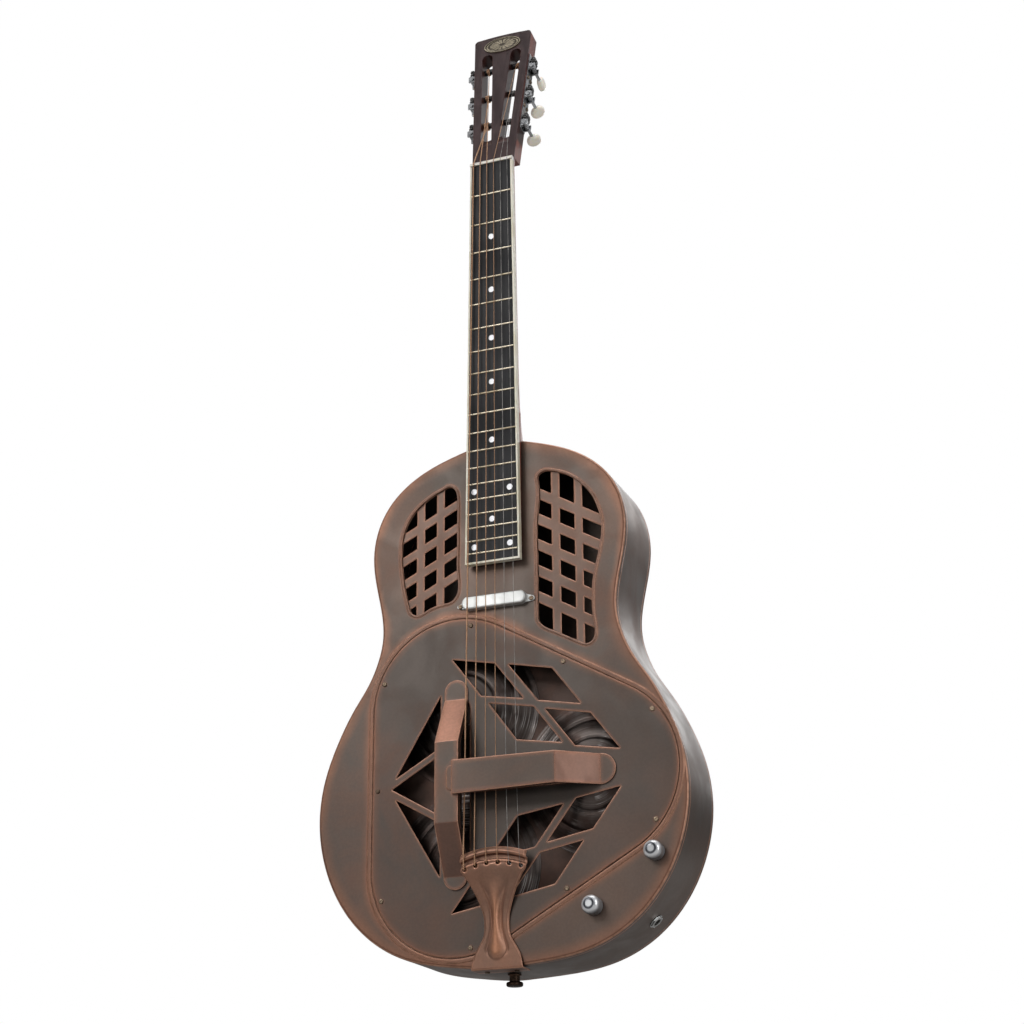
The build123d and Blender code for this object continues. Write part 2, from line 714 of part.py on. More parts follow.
SLOT_OUT = -14.5        # centre of the string slots, inside the headstock's side
SLOT_W = 11.8
SLOT_LOW, SLOT_HIGH = -63.0, 55.0
PLATE_SCREWS = [(along, depth) for along in (-22.0, 16.0) for depth in (5.6, 13.0)]


# ---------------------------------------------------------------- neck
def half_oval(half_width, depth):
    return wire_face(
        Line((-half_width, 0), (half_width, 0)),
        EllipticalCenterArc((0, 0), half_width, depth, start_angle=0, arc_size=180),
    )


def neck_section(z, half_width, depth):
    level = Plane(origin=(0, BOARD_BOT, z), x_dir=(1, 0, 0), z_dir=(0, 0, 1))
    return level * half_oval(half_width, depth)


def half_at(z):
    """Half width of the fretboard."""
    return NUT_HALF + (END_HALF - NUT_HALF) * (NUT_Z - z) / (NUT_Z - BOARD_END)


def headstock():
    low, shoulder = -4.0, HEAD_LEN - 5
    side, corner = head_half(shoulder), head_half(HEAD_LEN)
    tip_r, tip_l = (corner - 5, HEAD_LEN), (-corner + 5, HEAD_LEN)
    low_r, low_l = (head_half(low), low), (-head_half(low), low)
    face = wire_face(
        Line(low_l, low_r),
        Line(low_r, (side, shoulder)),
        ThreePointArc((side, shoulder), (corner - 1.3, HEAD_LEN - 1.3), tip_r),
        ThreePointArc(tip_r, (0, HEAD_LEN + 1.2), tip_l),
        ThreePointArc(tip_l, (-corner + 1.3, HEAD_LEN - 1.3), (-side, shoulder)),
        Line((-side, shoulder), low_l),
    )
    head = extrude(HEAD_PLANE * face, amount=HEAD_T, dir=HEAD_IN)
    head = head - Pos(0, BOARD_BOT - 10, NUT_Z) * Box(80, 20, 60)
    head = head & (Pos(0, 0, NUT_Z + 300 - 2) * Box(200, 400, 600))
    head -= Pos(0, 0, NUT_Z) * Box(200, 400, 9.8)
    return head


def string_slot(side):
    low, high = SLOT_LOW + SLOT_W / 2, SLOT_HIGH - SLOT_W / 2
    out0, out1 = SLOT_OUT - SLOT_W / 2, SLOT_OUT + SLOT_W / 2
    slot = side_box(side, low, high, -3, HEAD_T + 4, out0, out1)
    for along in (low, high):
        end = on_side(side, along, HEAD_T / 2, SLOT_OUT) * Rot(90, 0, 0)
        slot += end * Cylinder(SLOT_W / 2, HEAD_T + 7)
    return slot


def slot_ramp(side):
    """Wedge that slopes the face down into the lower end of a slot."""
    plane = side_plane(side)
    wedge = poly([
        (SLOT_LOW - 13.0, side * 1.0), (SLOT_LOW + 6.0, side * 1.0),
        (SLOT_LOW + 6.0, -side * 7.5),
    ])
    placed = plane * Pos(0, 0, SLOT_OUT - SLOT_W / 2) * wedge
    return extrude(placed, amount=SLOT_W, dir=plane.z_dir)


def neck():
    shaft_end = (560.0, half_at(560), 18.0)
    body = loft([
        neck_section(HEAD_Z, NUT_HALF, 15.5),
        neck_section(690.0, half_at(690), 16.4),
        neck_section(*shaft_end),
    ])
    # heel
    body += loft([
        neck_section(*shaft_end),
        neck_section(541.0, half_at(541), 22.0),
        neck_section(523.0, half_at(523) - 1.5, 38.0),
        neck_section(495.0, 21.0, 62.0),
    ])
    body -= slab(outline(0.03), FRONT_Y - 0.03, BACK_Y + 5)
    # tongue under the fretboard, over the body
    top_half, end_half = half_at(530) - 0.01, END_HALF - 2.2
    end_z = BOARD_END + 4
    tongue = poly([(-top_half, 530), (top_half, 530), (end_half, end_z), (-end_half, end_z)])
    body += slab(tongue, BOARD_BOT, FRONT_Y - 0.03)
    body += headstock()
    # blend from the neck into the tilted headstock
    blend_up = 12.0
    blend_plane = Plane(origin=HEAD_ORIGIN + in_head(0, blend_up), x_dir=(1, 0, 0),
                        z_dir=HEAD_UP)
    body += loft([
        neck_section(NUT_Z - 6.0, NUT_HALF, 15.2),
        blend_plane * half_oval(head_half(blend_up) - 0.1, 16.9),
    ])
    body -= Pos(0, BOARD_BOT - 10, NUT_Z - 3) * Box(80, 20, 16.0)
    for side in (-1, 1):
        body -= string_slot(side)
        body -= slot_ramp(side)
        for along in POSTS:
            body -= side_cyl(side, along, POST_DEPTH, POST_R + RUN, -25.2, 1.0)
        for along, depth in PLATE_SCREWS:
            body -= side_cyl(side, along, depth, 1.12, -7.8, 1.0)
    return body.solids().sort_by(SortBy.VOLUME)[-1]


def neck_stick():
    """Bar through the body, from the tail end to the heel."""
    stick = Pos(0, -1.0, (1.3 + 504.0) / 2) * Box(30.0, 22.0, 504.0 - 1.9)
    inside = slab(outline(-SHEET - 0.05), FRONT_Y, BACK_Y)
    stick = stick & (inside + (Pos(0, -1, 500) * Box(30.0, 22.0, 6.0)))
    stick -= Pos(0, 0, 10) * Cylinder(2.03, 40)
    return stick


save(neck(), "neck")
save(neck_stick(), "neck_stick")

# ---------------------------------------------------------------- fretboard and nut
BOARD_BACK = BOARD_BOT - GAP
MARKED_FRETS = (3, 5, 7, 9, 12, 15, 17, 19)
PAIRED_FRETS = (15, 19)         # two dots each
PAIR_X = 18.2
DOT_R = 3.0
FRET_Z = [NUT_Z - SCALE * (1 - 2 ** (-n / 12)) for n in range(FRETS + 1)]


def taper(z0, z1, inset):
    """Fretboard outline between two heights, drawn in by inset on each side."""
    half0, half1 = half_at(z0) - inset, half_at(z1) - inset
    return poly([(-half0, z0), (half0, z0), (half1, z1), (-half1, z1)])


def dot_places():
    places = []
    for n in MARKED_FRETS:
        z = (FRET_Z[n] + FRET_Z[n - 1]) / 2
        for x in (-PAIR_X, PAIR_X) if n in PAIRED_FRETS else (0.0,):
            places.append((x, z))
    return places


def fretboard():
    board = slab(taper(BOARD_END + 2.0, NUT_Z, BINDING), BOARD_TOP, BOARD_BACK)
    for x, z in dot_places():
        board -= disc(x, z, DOT_R, BOARD_TOP - 1, BOARD_TOP + 1.0)
    return board


def binding():
    strip = slab(taper(BOARD_END, NUT_Z, 0.0), BOARD_TOP, BOARD_BACK)
    inside = taper(BOARD_END + 2.0, NUT_Z + 10, BINDING)
    return strip - slab(inside, BOARD_TOP - 1, BOARD_BOT + 1)


def fret(z):
    half = half_at(z) - BINDING - 0.1
    wire = Pos(0, BOARD_TOP, z) * Rot(0, 90, 0) * Cylinder(1.1, 2 * half)
    return wire & (Pos(0, BOARD_TOP - 5.0, z) * Box(200, 10, 10))


def nut():
    z0, z1 = NUT_Z + GAP, NUT_Z + 4.9
    return yz_solid([
        (z0, BOARD_BACK), (z1, BOARD_BACK), (z1, -49.6), (NUT_Z + 1.4, NUT_TOP),
        (z0, NUT_TOP),
    ], -NUT_HALF, NUT_HALF)


def badge():
    """Oval badge with a raised rim, near the top of the headstock."""
    up = 162.0
    oval = Ellipse(20.5, 9.8)
    plate = HEAD_PLANE * Pos(0, up, 0.41) * extrude(oval, amount=0.4, both=True)
    rim = extrude(oval, amount=0.6) - extrude(Ellipse(19.2, 8.5), amount=1.0)
    return plate + HEAD_PLANE * Pos(0, up, 0.6) * rim


save(fretboard(), "fretboard")
save(group([disc(x, z, DOT_R, BOARD_TOP, BOARD_TOP + 1.0) for x, z in dot_places()]),
     "fret_markers")
save(binding(), "fretboard_binding")
save(group([fret(z) for z in FRET_Z[1:]]), "frets")
save(nut(), "nut")
save(badge(), "headstock_badge")


# ---------------------------------------------------------------- tuners
def gear_face():
    root_r, tip_r = 5.2, 6.3
    root_half, tip_half = 0.6 / root_r, 0.24 / tip_r    # half tooth angles
    corners = [(root_r, -root_half), (tip_r, -tip_half), (tip_r, tip_half),
               (root_r, root_half)]
    points = []
    for k in range(GEAR_TEETH):
        middle = pi + 2 * pi * k / GEAR_TEETH
        for r, turn in corners:
            points.append((r * cos(middle + turn), r * sin(middle + turn)))
    return poly(points)


def worm():
    """Worm and shaft; the axis +Z is the depth behind the headstock face."""
    core = cyl_up(4.95, 2.2, 8.7)
    shaft = cyl_up(1.6, WORM_R, 26.4)
    cap = cyl_up(1.4, 2.5, 1.7)
    thread_r = 2.1
    z0 = POST_DEPTH - 1.5 * WORM_PITCH
    path = Pos(0, 0, z0) * Helix(WORM_PITCH, 3 * WORM_PITCH, thread_r)
    tooth = poly([(-0.2, -0.5), (0.9, -0.22), (0.9, 0.22), (-0.2, 0.5)])
    thread = sweep(front_plane(thread_r, 0, z0) * tooth, path=path, is_frenet=True)
    return core + shaft + cap + thread


def button_blank():
    blank = extrude(Ellipse(7.6, 7.2), amount=3.3, both=True)
    return fillet(blank.edges(), 2.6)


def tuner_plate(side):
    plate = side_box(side, -53.0, 47.0, 2.9, 15.7, 0.01, 1.2)
    for along in POSTS:
        # two lugs carry each worm
        at = along - WORM_OFFSET
        plate += side_box(side, at - 3.4, at + 3.4, 3.2, 4.8, 1.1, 8.0)
        plate += side_box(side, at - 3.4, at + 3.4, 13.8, 15.4, 1.1, 8.0)
    for along in POSTS:
        plate -= side_cyl(side, along, POST_DEPTH, POST_R + RUN, -1, 3)
        bore = on_side(side, along - WORM_OFFSET, POST_DEPTH, WORM_OUT) * Rot(90, 0, 0)
        plate -= bore * Cylinder(WORM_R + RUN, 30)
    for along, depth in PLATE_SCREWS:
        plate -= side_cyl(side, along, depth, 1.25, -1, 3)
    return plate


def plate_screw(side, along, depth):
    shank = side_cyl(side, along, depth, 1.1, -7.5, 1.25)
    return shank + side_cyl(side, along, depth, 2.1, 1.21, 2.1)


def tuner_post(side, along, gear):
    post = side_cyl(side, along, POST_DEPTH, POST_R, -24.6, 3.2)
    post = post + on_side(side, along, POST_DEPTH, 3.1) * extrude(gear, amount=2.8)
    post = post + side_cyl(side, along, POST_DEPTH, 2.8, 5.8, 7.4)
    # string hole, then the slot across the outer end
    post -= on_side(side, along, POST_DEPTH, SLOT_OUT) * Rot(90, 0, 0) * Cylinder(0.9, 12)
    post -= on_side(side, along, POST_DEPTH, 7.4) * Box(6.5, 0.8, 1.2)
    return post


def tuner_button(plane, turn, blank):
    button = plane * Pos(0, 0, 33.0) * Rot(0, 0, turn) * Rot(90, 0, 0) * blank
    button -= plane * cyl_up(0, WORM_R + 0.02, 28.02)
    return button


for side, side_name in ((-1, "bass"), (1, "treble")):
    save(tuner_plate(side), "tuner_plate_" + side_name)
save(group([plate_screw(side, *place) for side in (-1, 1) for place in PLATE_SCREWS]),
     "tuner_plate_screws")

worm_shape = worm()
gear_shape = gear_face()
blank_shape = button_blank()
for name, side, along, _, turn in STRINGS:
    worm_plane = Plane(origin=side_point(side, along - WORM_OFFSET, 0, WORM_OUT),
                       x_dir=side_plane(side).x_dir, z_dir=HEAD_IN)
    save(tuner_post(side, along, gear_shape), "tuner_post_" + name)
    save(worm_plane * worm_shape, "tuner_worm_" + name)
    save(tuner_button(worm_plane, turn, blank_shape), "tuner_button_" + name)

# ---------------------------------------------------------------- pickup
PICKUP_H = 6.6
# corners of each fixing ear from the pickup's centre: root, corner, tip, corner, root
BASS_EAR = [(-31.0, -4.2), (-37.5, -2.9), (-39.0, -1.2), (-37.5, 0.4), (-31.0, 3.6)]
TREBLE_EAR = [(30.0, -4.6), (37.0, -4.2), (39.0, -1.7), (37.0, 0.9), (30.0, 3.4)]


def pickup_slab(face, y0, y1):
    """Slab of a face drawn about the pickup's centre."""
    return slab(Pos(PICKUP_X, PICKUP_Z) * face, y0, y1)


def ear(points):
    root0, corner0, tip, corner1, root1 = points
    face = wire_face(
        Line(root0, corner0),
        ThreePointArc(corner0, tip, corner1),
        Line(corner1, root1),
        Line(root1, root0),
    )
    return pickup_slab(face, FRONT_Y - 1.3, FRONT_Y - GAP)


def pickup_cover():
    face = wire_face(
        Line((-29.0, -6.2), (27.0, -6.2)),
        ThreePointArc((27.0, -6.2), (31.6, 0), (27.0, 6.2)),
        Line((27.0, 6.2), (-29.0, 6.2)),
        ThreePointArc((-29.0, 6.2), (-32.8, 0), (-29.0, -6.2)),
    )
    cover = pickup_slab(face, FRONT_Y - PICKUP_H, FRONT_Y - GAP)
    cover = soften(cover, FRONT_Y - PICKUP_H, 1.6)
    cover += ear(BASS_EAR) + ear(TREBLE_EAR)
    cover -= pickup_slab(Pos(-1.0, 0) * Rectangle(56.0, 9.6), FRONT_Y - 5.4, FRONT_Y + 1)
    for x, z in PICKUP_SCREWS:
        cover -= disc(x, z, CLEAR_R, FRONT_Y - 3, FRONT_Y + 1)
    return cover


save(pickup_cover(), "pickup_cover")
save(pickup_slab(Pos(-1.0, 0) * Rectangle(54.0, 8.4), FRONT_Y - 5.0, FRONT_Y - 0.4),
     "pickup_coil")

# ---------------------------------------------------------------- controls
POT_Y = INNER_Y + 0.02
KNOB_Y = FRONT_Y - 13.6     # front of the knobs


def pot(x, z):
    body = disc(x, z, 8.5, POT_Y, POT_Y + 9.0)
    body += slab(Pos(x, z - 10.0) * Rectangle(10.0, 6.0), POT_Y + 1.0, POT_Y + 2.6)
    body += disc(x, z, 3.5, FRONT_Y - 3.6, POT_Y + 1)
    body += slab(Pos(x, z) * RegularPolygon(5.0, 6), FRONT_Y - 2.4, FRONT_Y - 0.02)
    body -= disc(x, z, SHAFT_R + RUN, FRONT_Y - 5, POT_Y + 6.0)
    return body


def knob(x, z):
    cap = disc(x, z, KNOB_R, KNOB_Y, FRONT_Y - 0.6)
    cap = fillet(edges_at_y(cap, KNOB_Y), 5.2)
    cap -= disc(x, z, 6.4, FRONT_Y - 4.4, FRONT_Y)
    cap -= disc(x, z, SHAFT_R + 0.02, FRONT_Y - 10.52, FRONT_Y)
    return cap


for name, (x, z) in (("volume", VOLUME_AT), ("tone", TONE_AT)):
    save(pot(x, z), name + "_pot")
    save(disc(x, z, SHAFT_R, FRONT_Y - 10.5, POT_Y + 5.8), name + "_pot_shaft")
    save(knob(x, z), name + "_knob")


def output_jack():
    """Jack through the lower treble side, drawn with +Z outwards."""
    barrel = Pos(0, 0, -11.0) * Cylinder(JACK_R, 26.0)
    collar = Pos(0, 0, -SHEET - 4.0) * Cylinder(6.8, 5.0)
    trim = Pos(0, 0, -SHEET + 1.0) * Cylinder(9, 5.0)
    body = barrel + collar - trim + barrel
    body -= Cylinder(3.25, 48.1)
    # clear the body's curved side sheet outside the hole
    sheet = slab(outline(0.02), FRONT_Y, BACK_Y)
    sheet = sheet - slab(outline(-SHEET - 0.05), FRONT_Y - 1, BACK_Y + 1)
    sheet = sheet - (JACK_PLANE * Cylinder(JACK_R + 0.02, 40))
    jack = JACK_PLANE * body - sheet
    return jack.solids().sort_by(SortBy.VOLUME)[-1]


def jack_nut():
    ring = Pos(0, 0, 0.45) * extrude(RegularPolygon(6.6, 6), amount=1.6)
    ring = ring + cyl_up(0.1, 7.0, 0.5)
    ring -= Cylinder(JACK_R + 0.02, 20)
    ring = JACK_PLANE * ring - slab(outline(0.02), FRONT_Y, BACK_Y)
    return ring.solids().sort_by(SortBy.VOLUME)[-1]


save(output_jack(), "output_jack")
save(jack_nut(), "jack_nut")


# ---------------------------------------------------------------- wiring
def cable(points):
    path = Spline(*points)
    start = Plane(origin=path @ 0, z_dir=path % 0)
    return sweep(start * Circle(0.9), path=path)


def wiring():
    volume_x, volume_z = VOLUME_AT
    tone_x, tone_z = TONE_AT
    pot_back = INNER_Y + 11.2
    jack_end = JACK_PLANE.from_local_coords(Vector(5.2, 0, -24.3))
    jack_bend = JACK_PLANE.from_local_coords(Vector(6.4, 0, -32.0))
    pickup_to_volume = cable([
        (PICKUP_X, FRONT_Y - 0.2, PICKUP_Z),
        (PICKUP_X + 1.0, FRONT_Y + 10.0, PICKUP_Z - 3.0),
        (60.0, -8.0, 300.0), (150.0, -4.0, 190.0), (166.0, -15.0, 120.0),
        (volume_x + 2.0, INNER_Y + 12.0, volume_z + 3.0),
    ])
    volume_to_tone = cable([
        (volume_x - 3.0, pot_back, volume_z - 2.0), (125.0, -18.0, 62.0),
        (tone_x + 3.0, pot_back, tone_z + 2.0),
    ])
    volume_to_jack = cable([
        (volume_x + 1.0, pot_back, volume_z - 4.5), (volume_x - 3.0, -12.0, 72.0),
        (jack_bend.X, jack_bend.Y, jack_bend.Z), (jack_end.X, jack_end.Y, jack_end.Z),
    ])
    return group([pickup_to_volume, volume_to_tone, volume_to_jack])


save(wiring(), "wiring")


# ---------------------------------------------------------------- strings
def rod(start, end, radius):
    start, end = Vector(*start), Vector(*end)
    run = end - start
    return Solid.make_cylinder(radius, run.length, Plane(origin=start, z_dir=run.normalized()))


def guitar_string(i, side, along, radius):
    """Straight runs from the ball in the tailpiece to the tuner post."""
    tail_x, tail_z = TAIL_X[i], TAIL_Z[i]
    arch_z = TAIL_TIP_Z - (TAIL_TIP_Z - TAIL_CORNER_Z) * (tail_x / TAIL_HALF) ** 2
    post = side_point(side, along, POST_DEPTH, SLOT_OUT) + HEAD_OUT * (POST_R + radius + 0.06)
    ball = (tail_x + (1.0 if i == 0 else 0.0), -48.3, tail_z)
    points = [
        ball,
        (tail_x, -54.0 - radius, tail_z),
        (tail_x * 0.985, -55.7 - radius, arch_z - 1.3),
        (-25.0 + 10.0 * i, SADDLE_TOP - radius - 0.04, SADDLE_Z),
        (-18.25 + 7.3 * i, NUT_TOP - radius - 0.04, NUT_Z + 1.4),
        (post.X, post.Y, post.Z),
    ]
    pieces = [rod(a, b, radius) for a, b in zip(points[:-1], points[1:])]
    pieces += [Pos(*bend) * Sphere(radius) for bend in points[1:-1]]
    pieces.append(Pos(*ball) * Sphere(2.4))
    return fuse(pieces)


wound, plain = [], []
for i, (name, side, along, radius, _) in enumerate(STRINGS):
    kind = plain if name in PLAIN else wound
    kind.append(guitar_string(i, side, along, radius))
save(group(wound), "strings_wound")
save(group(plain), "strings_plain")
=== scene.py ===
"""Looks and stage for a metal-bodied resonator guitar with three spun cones.

The guitar stands upright along Z with its front towards -Y. X runs across the body,
with the two bass cones at -X and the treble cone at +X. Lengths are in metres; tables
and sections marked mm are in millimetres.
"""
import json
from math import copysign, cos, exp, hypot, pi, radians, sin

import bpy
import bmesh
from mathutils import Vector, Matrix


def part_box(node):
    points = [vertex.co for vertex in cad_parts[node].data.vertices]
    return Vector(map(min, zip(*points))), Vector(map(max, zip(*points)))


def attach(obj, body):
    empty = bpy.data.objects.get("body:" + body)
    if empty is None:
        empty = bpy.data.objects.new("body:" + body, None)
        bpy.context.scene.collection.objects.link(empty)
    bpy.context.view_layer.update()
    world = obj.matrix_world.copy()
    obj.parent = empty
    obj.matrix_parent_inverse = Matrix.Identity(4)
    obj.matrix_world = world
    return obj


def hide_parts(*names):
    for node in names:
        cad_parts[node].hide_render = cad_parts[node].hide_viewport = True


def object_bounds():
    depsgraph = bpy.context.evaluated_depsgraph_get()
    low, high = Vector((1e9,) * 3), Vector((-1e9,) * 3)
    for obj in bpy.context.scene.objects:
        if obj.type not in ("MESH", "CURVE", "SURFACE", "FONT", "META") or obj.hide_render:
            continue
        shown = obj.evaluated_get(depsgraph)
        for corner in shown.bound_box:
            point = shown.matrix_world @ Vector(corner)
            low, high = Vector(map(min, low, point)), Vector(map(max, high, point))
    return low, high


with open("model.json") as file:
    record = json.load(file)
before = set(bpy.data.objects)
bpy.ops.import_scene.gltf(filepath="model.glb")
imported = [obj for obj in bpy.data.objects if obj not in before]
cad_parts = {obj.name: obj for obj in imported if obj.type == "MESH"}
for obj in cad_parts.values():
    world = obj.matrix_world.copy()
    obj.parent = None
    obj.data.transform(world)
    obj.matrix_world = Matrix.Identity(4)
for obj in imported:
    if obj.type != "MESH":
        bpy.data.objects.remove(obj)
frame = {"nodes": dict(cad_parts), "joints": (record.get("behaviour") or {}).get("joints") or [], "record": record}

CAD_LO, CAD_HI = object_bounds()
NODES = frame["nodes"]
JOINTS = {joint["name"]: joint for joint in frame["joints"]}
SLOT_OF = {part["node"]: part["material_slot"] for part in frame["record"]["subparts"]}

# Cone centres on the plane y = 0
CONE_MID_Z = 0.169
BASS_CONE_X, BASS_CONE_RISE = -0.0405, 0.074
TREBLE_CONE_X = 0.0885
CONES = {
    "cone_bass_upper": (BASS_CONE_X, 0.0, CONE_MID_Z + BASS_CONE_RISE),
    "cone_bass_lower": (BASS_CONE_X, 0.0, CONE_MID_Z - BASS_CONE_RISE),
    "cone_treble": (TREBLE_CONE_X, 0.0, CONE_MID_Z),
}

# Body outline: radius in mm about x = 0, z = OUTLINE_Z, every 10 degrees from straight
# down to straight up; the two halves mirror each other
OUTLINE_Z = 0.25
OUTLINE_RADII = [
    250.0, 250.9, 254.0, 251.6, 241.9, 226.7, 208.1, 186.5, 164.8, 147.3,
    134.4, 130.8, 136.2, 158.4, 201.0, 231.0, 244.5, 250.2, 254.5]
OUTLINE_LIMIT = 300.0  # mm, the radius stored as 1 in the colour ramp

# Headstock face: a point at its foot, and the sine and cosine of its 10 degree tilt
HEAD_FOOT_Y, HEAD_FOOT_Z = -0.045, 0.815
TILT_SIN, TILT_COS = 0.173648, 0.984808


def srgb(red, green, blue):
    """Display colour 0-255 to linear RGBA."""
    def linear(value):
        value = value / 255.0
        return value / 12.92 if value <= 0.04045 else ((value + 0.055) / 1.055) ** 2.4
    return (linear(red), linear(green), linear(blue), 1.0)


# ------------------------------------------------------------------ shader graphs
class Graph:
    """Builds a node tree; most methods add a node and return its output socket."""

    def __init__(self, owner, output="ShaderNodeOutputMaterial"):
        self.owner = owner
        owner.use_nodes = True
        self.tree = owner.node_tree
        self.tree.nodes.clear()
        self.output = self.new(output)
        self.made = {}
        self.xyz = None

    def new(self, kind, **settings):
        node = self.tree.nodes.new(kind)
        for key, value in settings.items():
            setattr(node, key, value)
        return node

    def shared(self, kind):
        """Outputs of the one node of this kind."""
        if kind not in self.made:
            self.made[kind] = self.new(kind)
        return self.made[kind].outputs

    @property
    def place(self):
        return self.shared("ShaderNodeTexCoord")["Object"]

    @property
    def normal(self):
        return self.shared("ShaderNodeNewGeometry")["Normal"]

    def put(self, socket, value):
        if value is None:
            return
        if isinstance(value, bpy.types.NodeSocket):
            self.tree.links.new(value, socket)
        else:
            socket.default_value = value

    def put_all(self, node, *values):
        for socket, value in zip(node.inputs, values):
            self.put(socket, value)

    def math(self, operation, a, b=None, c=None, clamp=False):
        node = self.new("ShaderNodeMath", operation=operation, use_clamp=clamp)
        self.put_all(node, a, b, c)
        return node.outputs[0]

    def chain(self, operation, first, *others):
        for value in others:
            first = self.math(operation, first, value)
        return first

    def mul(self, *values):
        return self.chain("MULTIPLY", *values)

    def add(self, *values):
        return self.chain("ADD", *values)

    def max(self, *values):
        return self.chain("MAXIMUM", *values)

    def sub(self, a, b):
        return self.math("SUBTRACT", a, b)

    def abs(self, value):
        return self.math("ABSOLUTE", value)

    def weighted(self, *pairs):
        return self.add(*[self.mul(value, weight) for value, weight in pairs])

    def vec(self, operation, a, b=None, c=None, scale=None):
        node = self.new("ShaderNodeVectorMath", operation=operation)
        self.put_all(node, a, b, c, scale)
        scalar = operation in ("LENGTH", "DOT_PRODUCT")
        return node.outputs["Value" if scalar else "Vector"]

    def fade(self, value, start, end, low=0.0, high=1.0, shape="SMOOTHSTEP"):
        """low at start, high at end, held beyond them."""
        node = self.new("ShaderNodeMapRange", interpolation_type=shape, clamp=True)
        self.put_all(node, value, start, end, low, high)
        return node.outputs[0]

    def mix(self, mask, under, over, blend="MIX"):
        node = self.new("ShaderNodeMix", data_type="RGBA", blend_type=blend,
                        clamp_factor=True)
        for index, value in ((0, mask), (6, under), (7, over)):
            self.put(node.inputs[index], value)
        return node.outputs[2]

    def noise(self, scale, detail=3.0, rough=0.5, at=None, stretch=None, distort=0.0,
              seed=0.0):
        at = at if at is not None else self.place
        if stretch is not None or seed:
            at = self.vec("MULTIPLY_ADD", at, stretch or (1, 1, 1),
                          (seed, seed * 0.7, -seed))
        node = self.new("ShaderNodeTexNoise", noise_dimensions="3D")
        for key, value in (("Vector", at), ("Scale", scale), ("Detail", detail),
                           ("Roughness", rough), ("Distortion", distort)):
            self.put(node.inputs[key], value)
        return node.outputs[0]

    def ramp(self, value, stops, mode="LINEAR"):
        """Colour ramp through (position, colour) stops."""
        node = self.new("ShaderNodeValToRGB")
        node.color_ramp.interpolation = mode
        elements = node.color_ramp.elements
        while len(elements) < len(stops):
            elements.new(0.5)
        for element, (position, colour) in zip(elements, stops):
            element.position = position
            element.color = colour
        self.put(node.inputs[0], value)
        return node.outputs[0]

    def split(self, vector):
        node = self.new("ShaderNodeSeparateXYZ")
        self.put(node.inputs[0], vector)
        return node.outputs

    def position(self):
        """x, y and z in the object frame."""
        if self.xyz is None:
            self.xyz = self.split(self.place)
        return self.xyz

    def bevel(self, radius, samples=4):
        """Normal with edges rounded over."""
        node = self.new("ShaderNodeBevel", samples=samples)
        node.inputs["Radius"].default_value = radius
        return node.outputs[0]

    def edge(self, rounded, start=0.015, end=0.16):
        """0 on flat areas, 1 on edges, from a bevel normal."""
        dot = self.vec("DOT_PRODUCT", rounded, self.normal)
        return self.fade(self.sub(1.0, dot), start, end)

    def openness(self, distance):
        """Ambient occlusion: 1 in the open, 0 in tight corners."""
        node = self.new("ShaderNodeAmbientOcclusion", samples=4)
        node.inputs["Distance"].default_value = distance
        return node.outputs["AO"]

    def corner_shade(self, under, shade_colour, distance, amount, start=0.55, end=0.15):
        """Painted shade: a darker colour mixed into tight corners, where ambient occlusion is low."""
        mask = self.fade(self.openness(distance), start, end, high=amount)
        return self.mix(mask, under, shade_colour)

    def bump(self, height, strength, distance, normal=None):
        node = self.new("ShaderNodeBump")
        node.inputs["Strength"].default_value = strength
        node.inputs["Distance"].default_value = distance
        self.put(node.inputs["Height"], height)
        self.put(node.inputs["Normal"], normal)
        return node.outputs[0]

    def principled(self, colour, rough, normal=None, metallic=0.0, **extra):
        node = self.new("ShaderNodeBsdfPrincipled")
        values = {"Base Color": colour, "Metallic": metallic, "Roughness": rough,
                  "Normal": normal}
        values.update((key.replace("_", " "), value) for key, value in extra.items())
        for key, value in values.items():
            self.put(node.inputs[key], value)
        return node.outputs[0]

    def mix_shader(self, mask, first, second):
        """Mix of two shaders, sent to the surface output."""
        node = self.new("ShaderNodeMixShader")
        self.put_all(node, mask, first, second)
        self.put(self.output.inputs["Surface"], node.outputs[0])

    def shade(self, colour, rough, normal=None, **extra):
        surface = self.principled(colour, rough, normal, **extra)
        self.put(self.output.inputs["Surface"], surface)
        return self.owner


def material_graph(name):
    return Graph(bpy.data.materials.new(name))


# ------------------------------------------------------------------ shared shape fields
def hull_distance(g):
    """Distance from the outline of the triangle through the cone centres, in plan XZ."""
    point = g.vec("MULTIPLY", g.place, (1.0, 0.0, 1.0))
    centres = [Vector(centre) for centre in CONES.values()]
    nearest = None
    for i, start in enumerate(centres):
        side = centres[(i + 1) % 3] - start
        offset = g.vec("SUBTRACT", point, tuple(start))
        along = g.math("MULTIPLY", g.vec("DOT_PRODUCT", offset, tuple(side)),
                       1.0 / side.length_squared, clamp=True)
        foot = g.vec("SCALE", tuple(side), scale=along)
        distance = g.vec("LENGTH", g.vec("SUBTRACT", offset, foot))
        nearest = distance if nearest is None else g.math("MINIMUM", nearest, distance)
    return nearest


def edge_distance(g):
    """Distance inward from the body outline, in plan XZ."""
    x, y, z = g.position()
    up = g.sub(z, OUTLINE_Z)
    across = g.abs(x)
    angle = g.math("ARCTAN2", up, across)
    turn = g.math("MULTIPLY_ADD", angle, 1.0 / pi, 0.5)
    last = len(OUTLINE_RADII) - 1
    stops = [(i / last, (radius / OUTLINE_LIMIT,) * 3 + (1.0,))
             for i, radius in enumerate(OUTLINE_RADII)]
    outline = g.mul(g.ramp(turn, stops, "CARDINAL"), OUTLINE_LIMIT / 1000)
    radius = g.math("SQRT", g.add(g.mul(up, up), g.mul(across, across)))
    return g.sub(outline, radius)


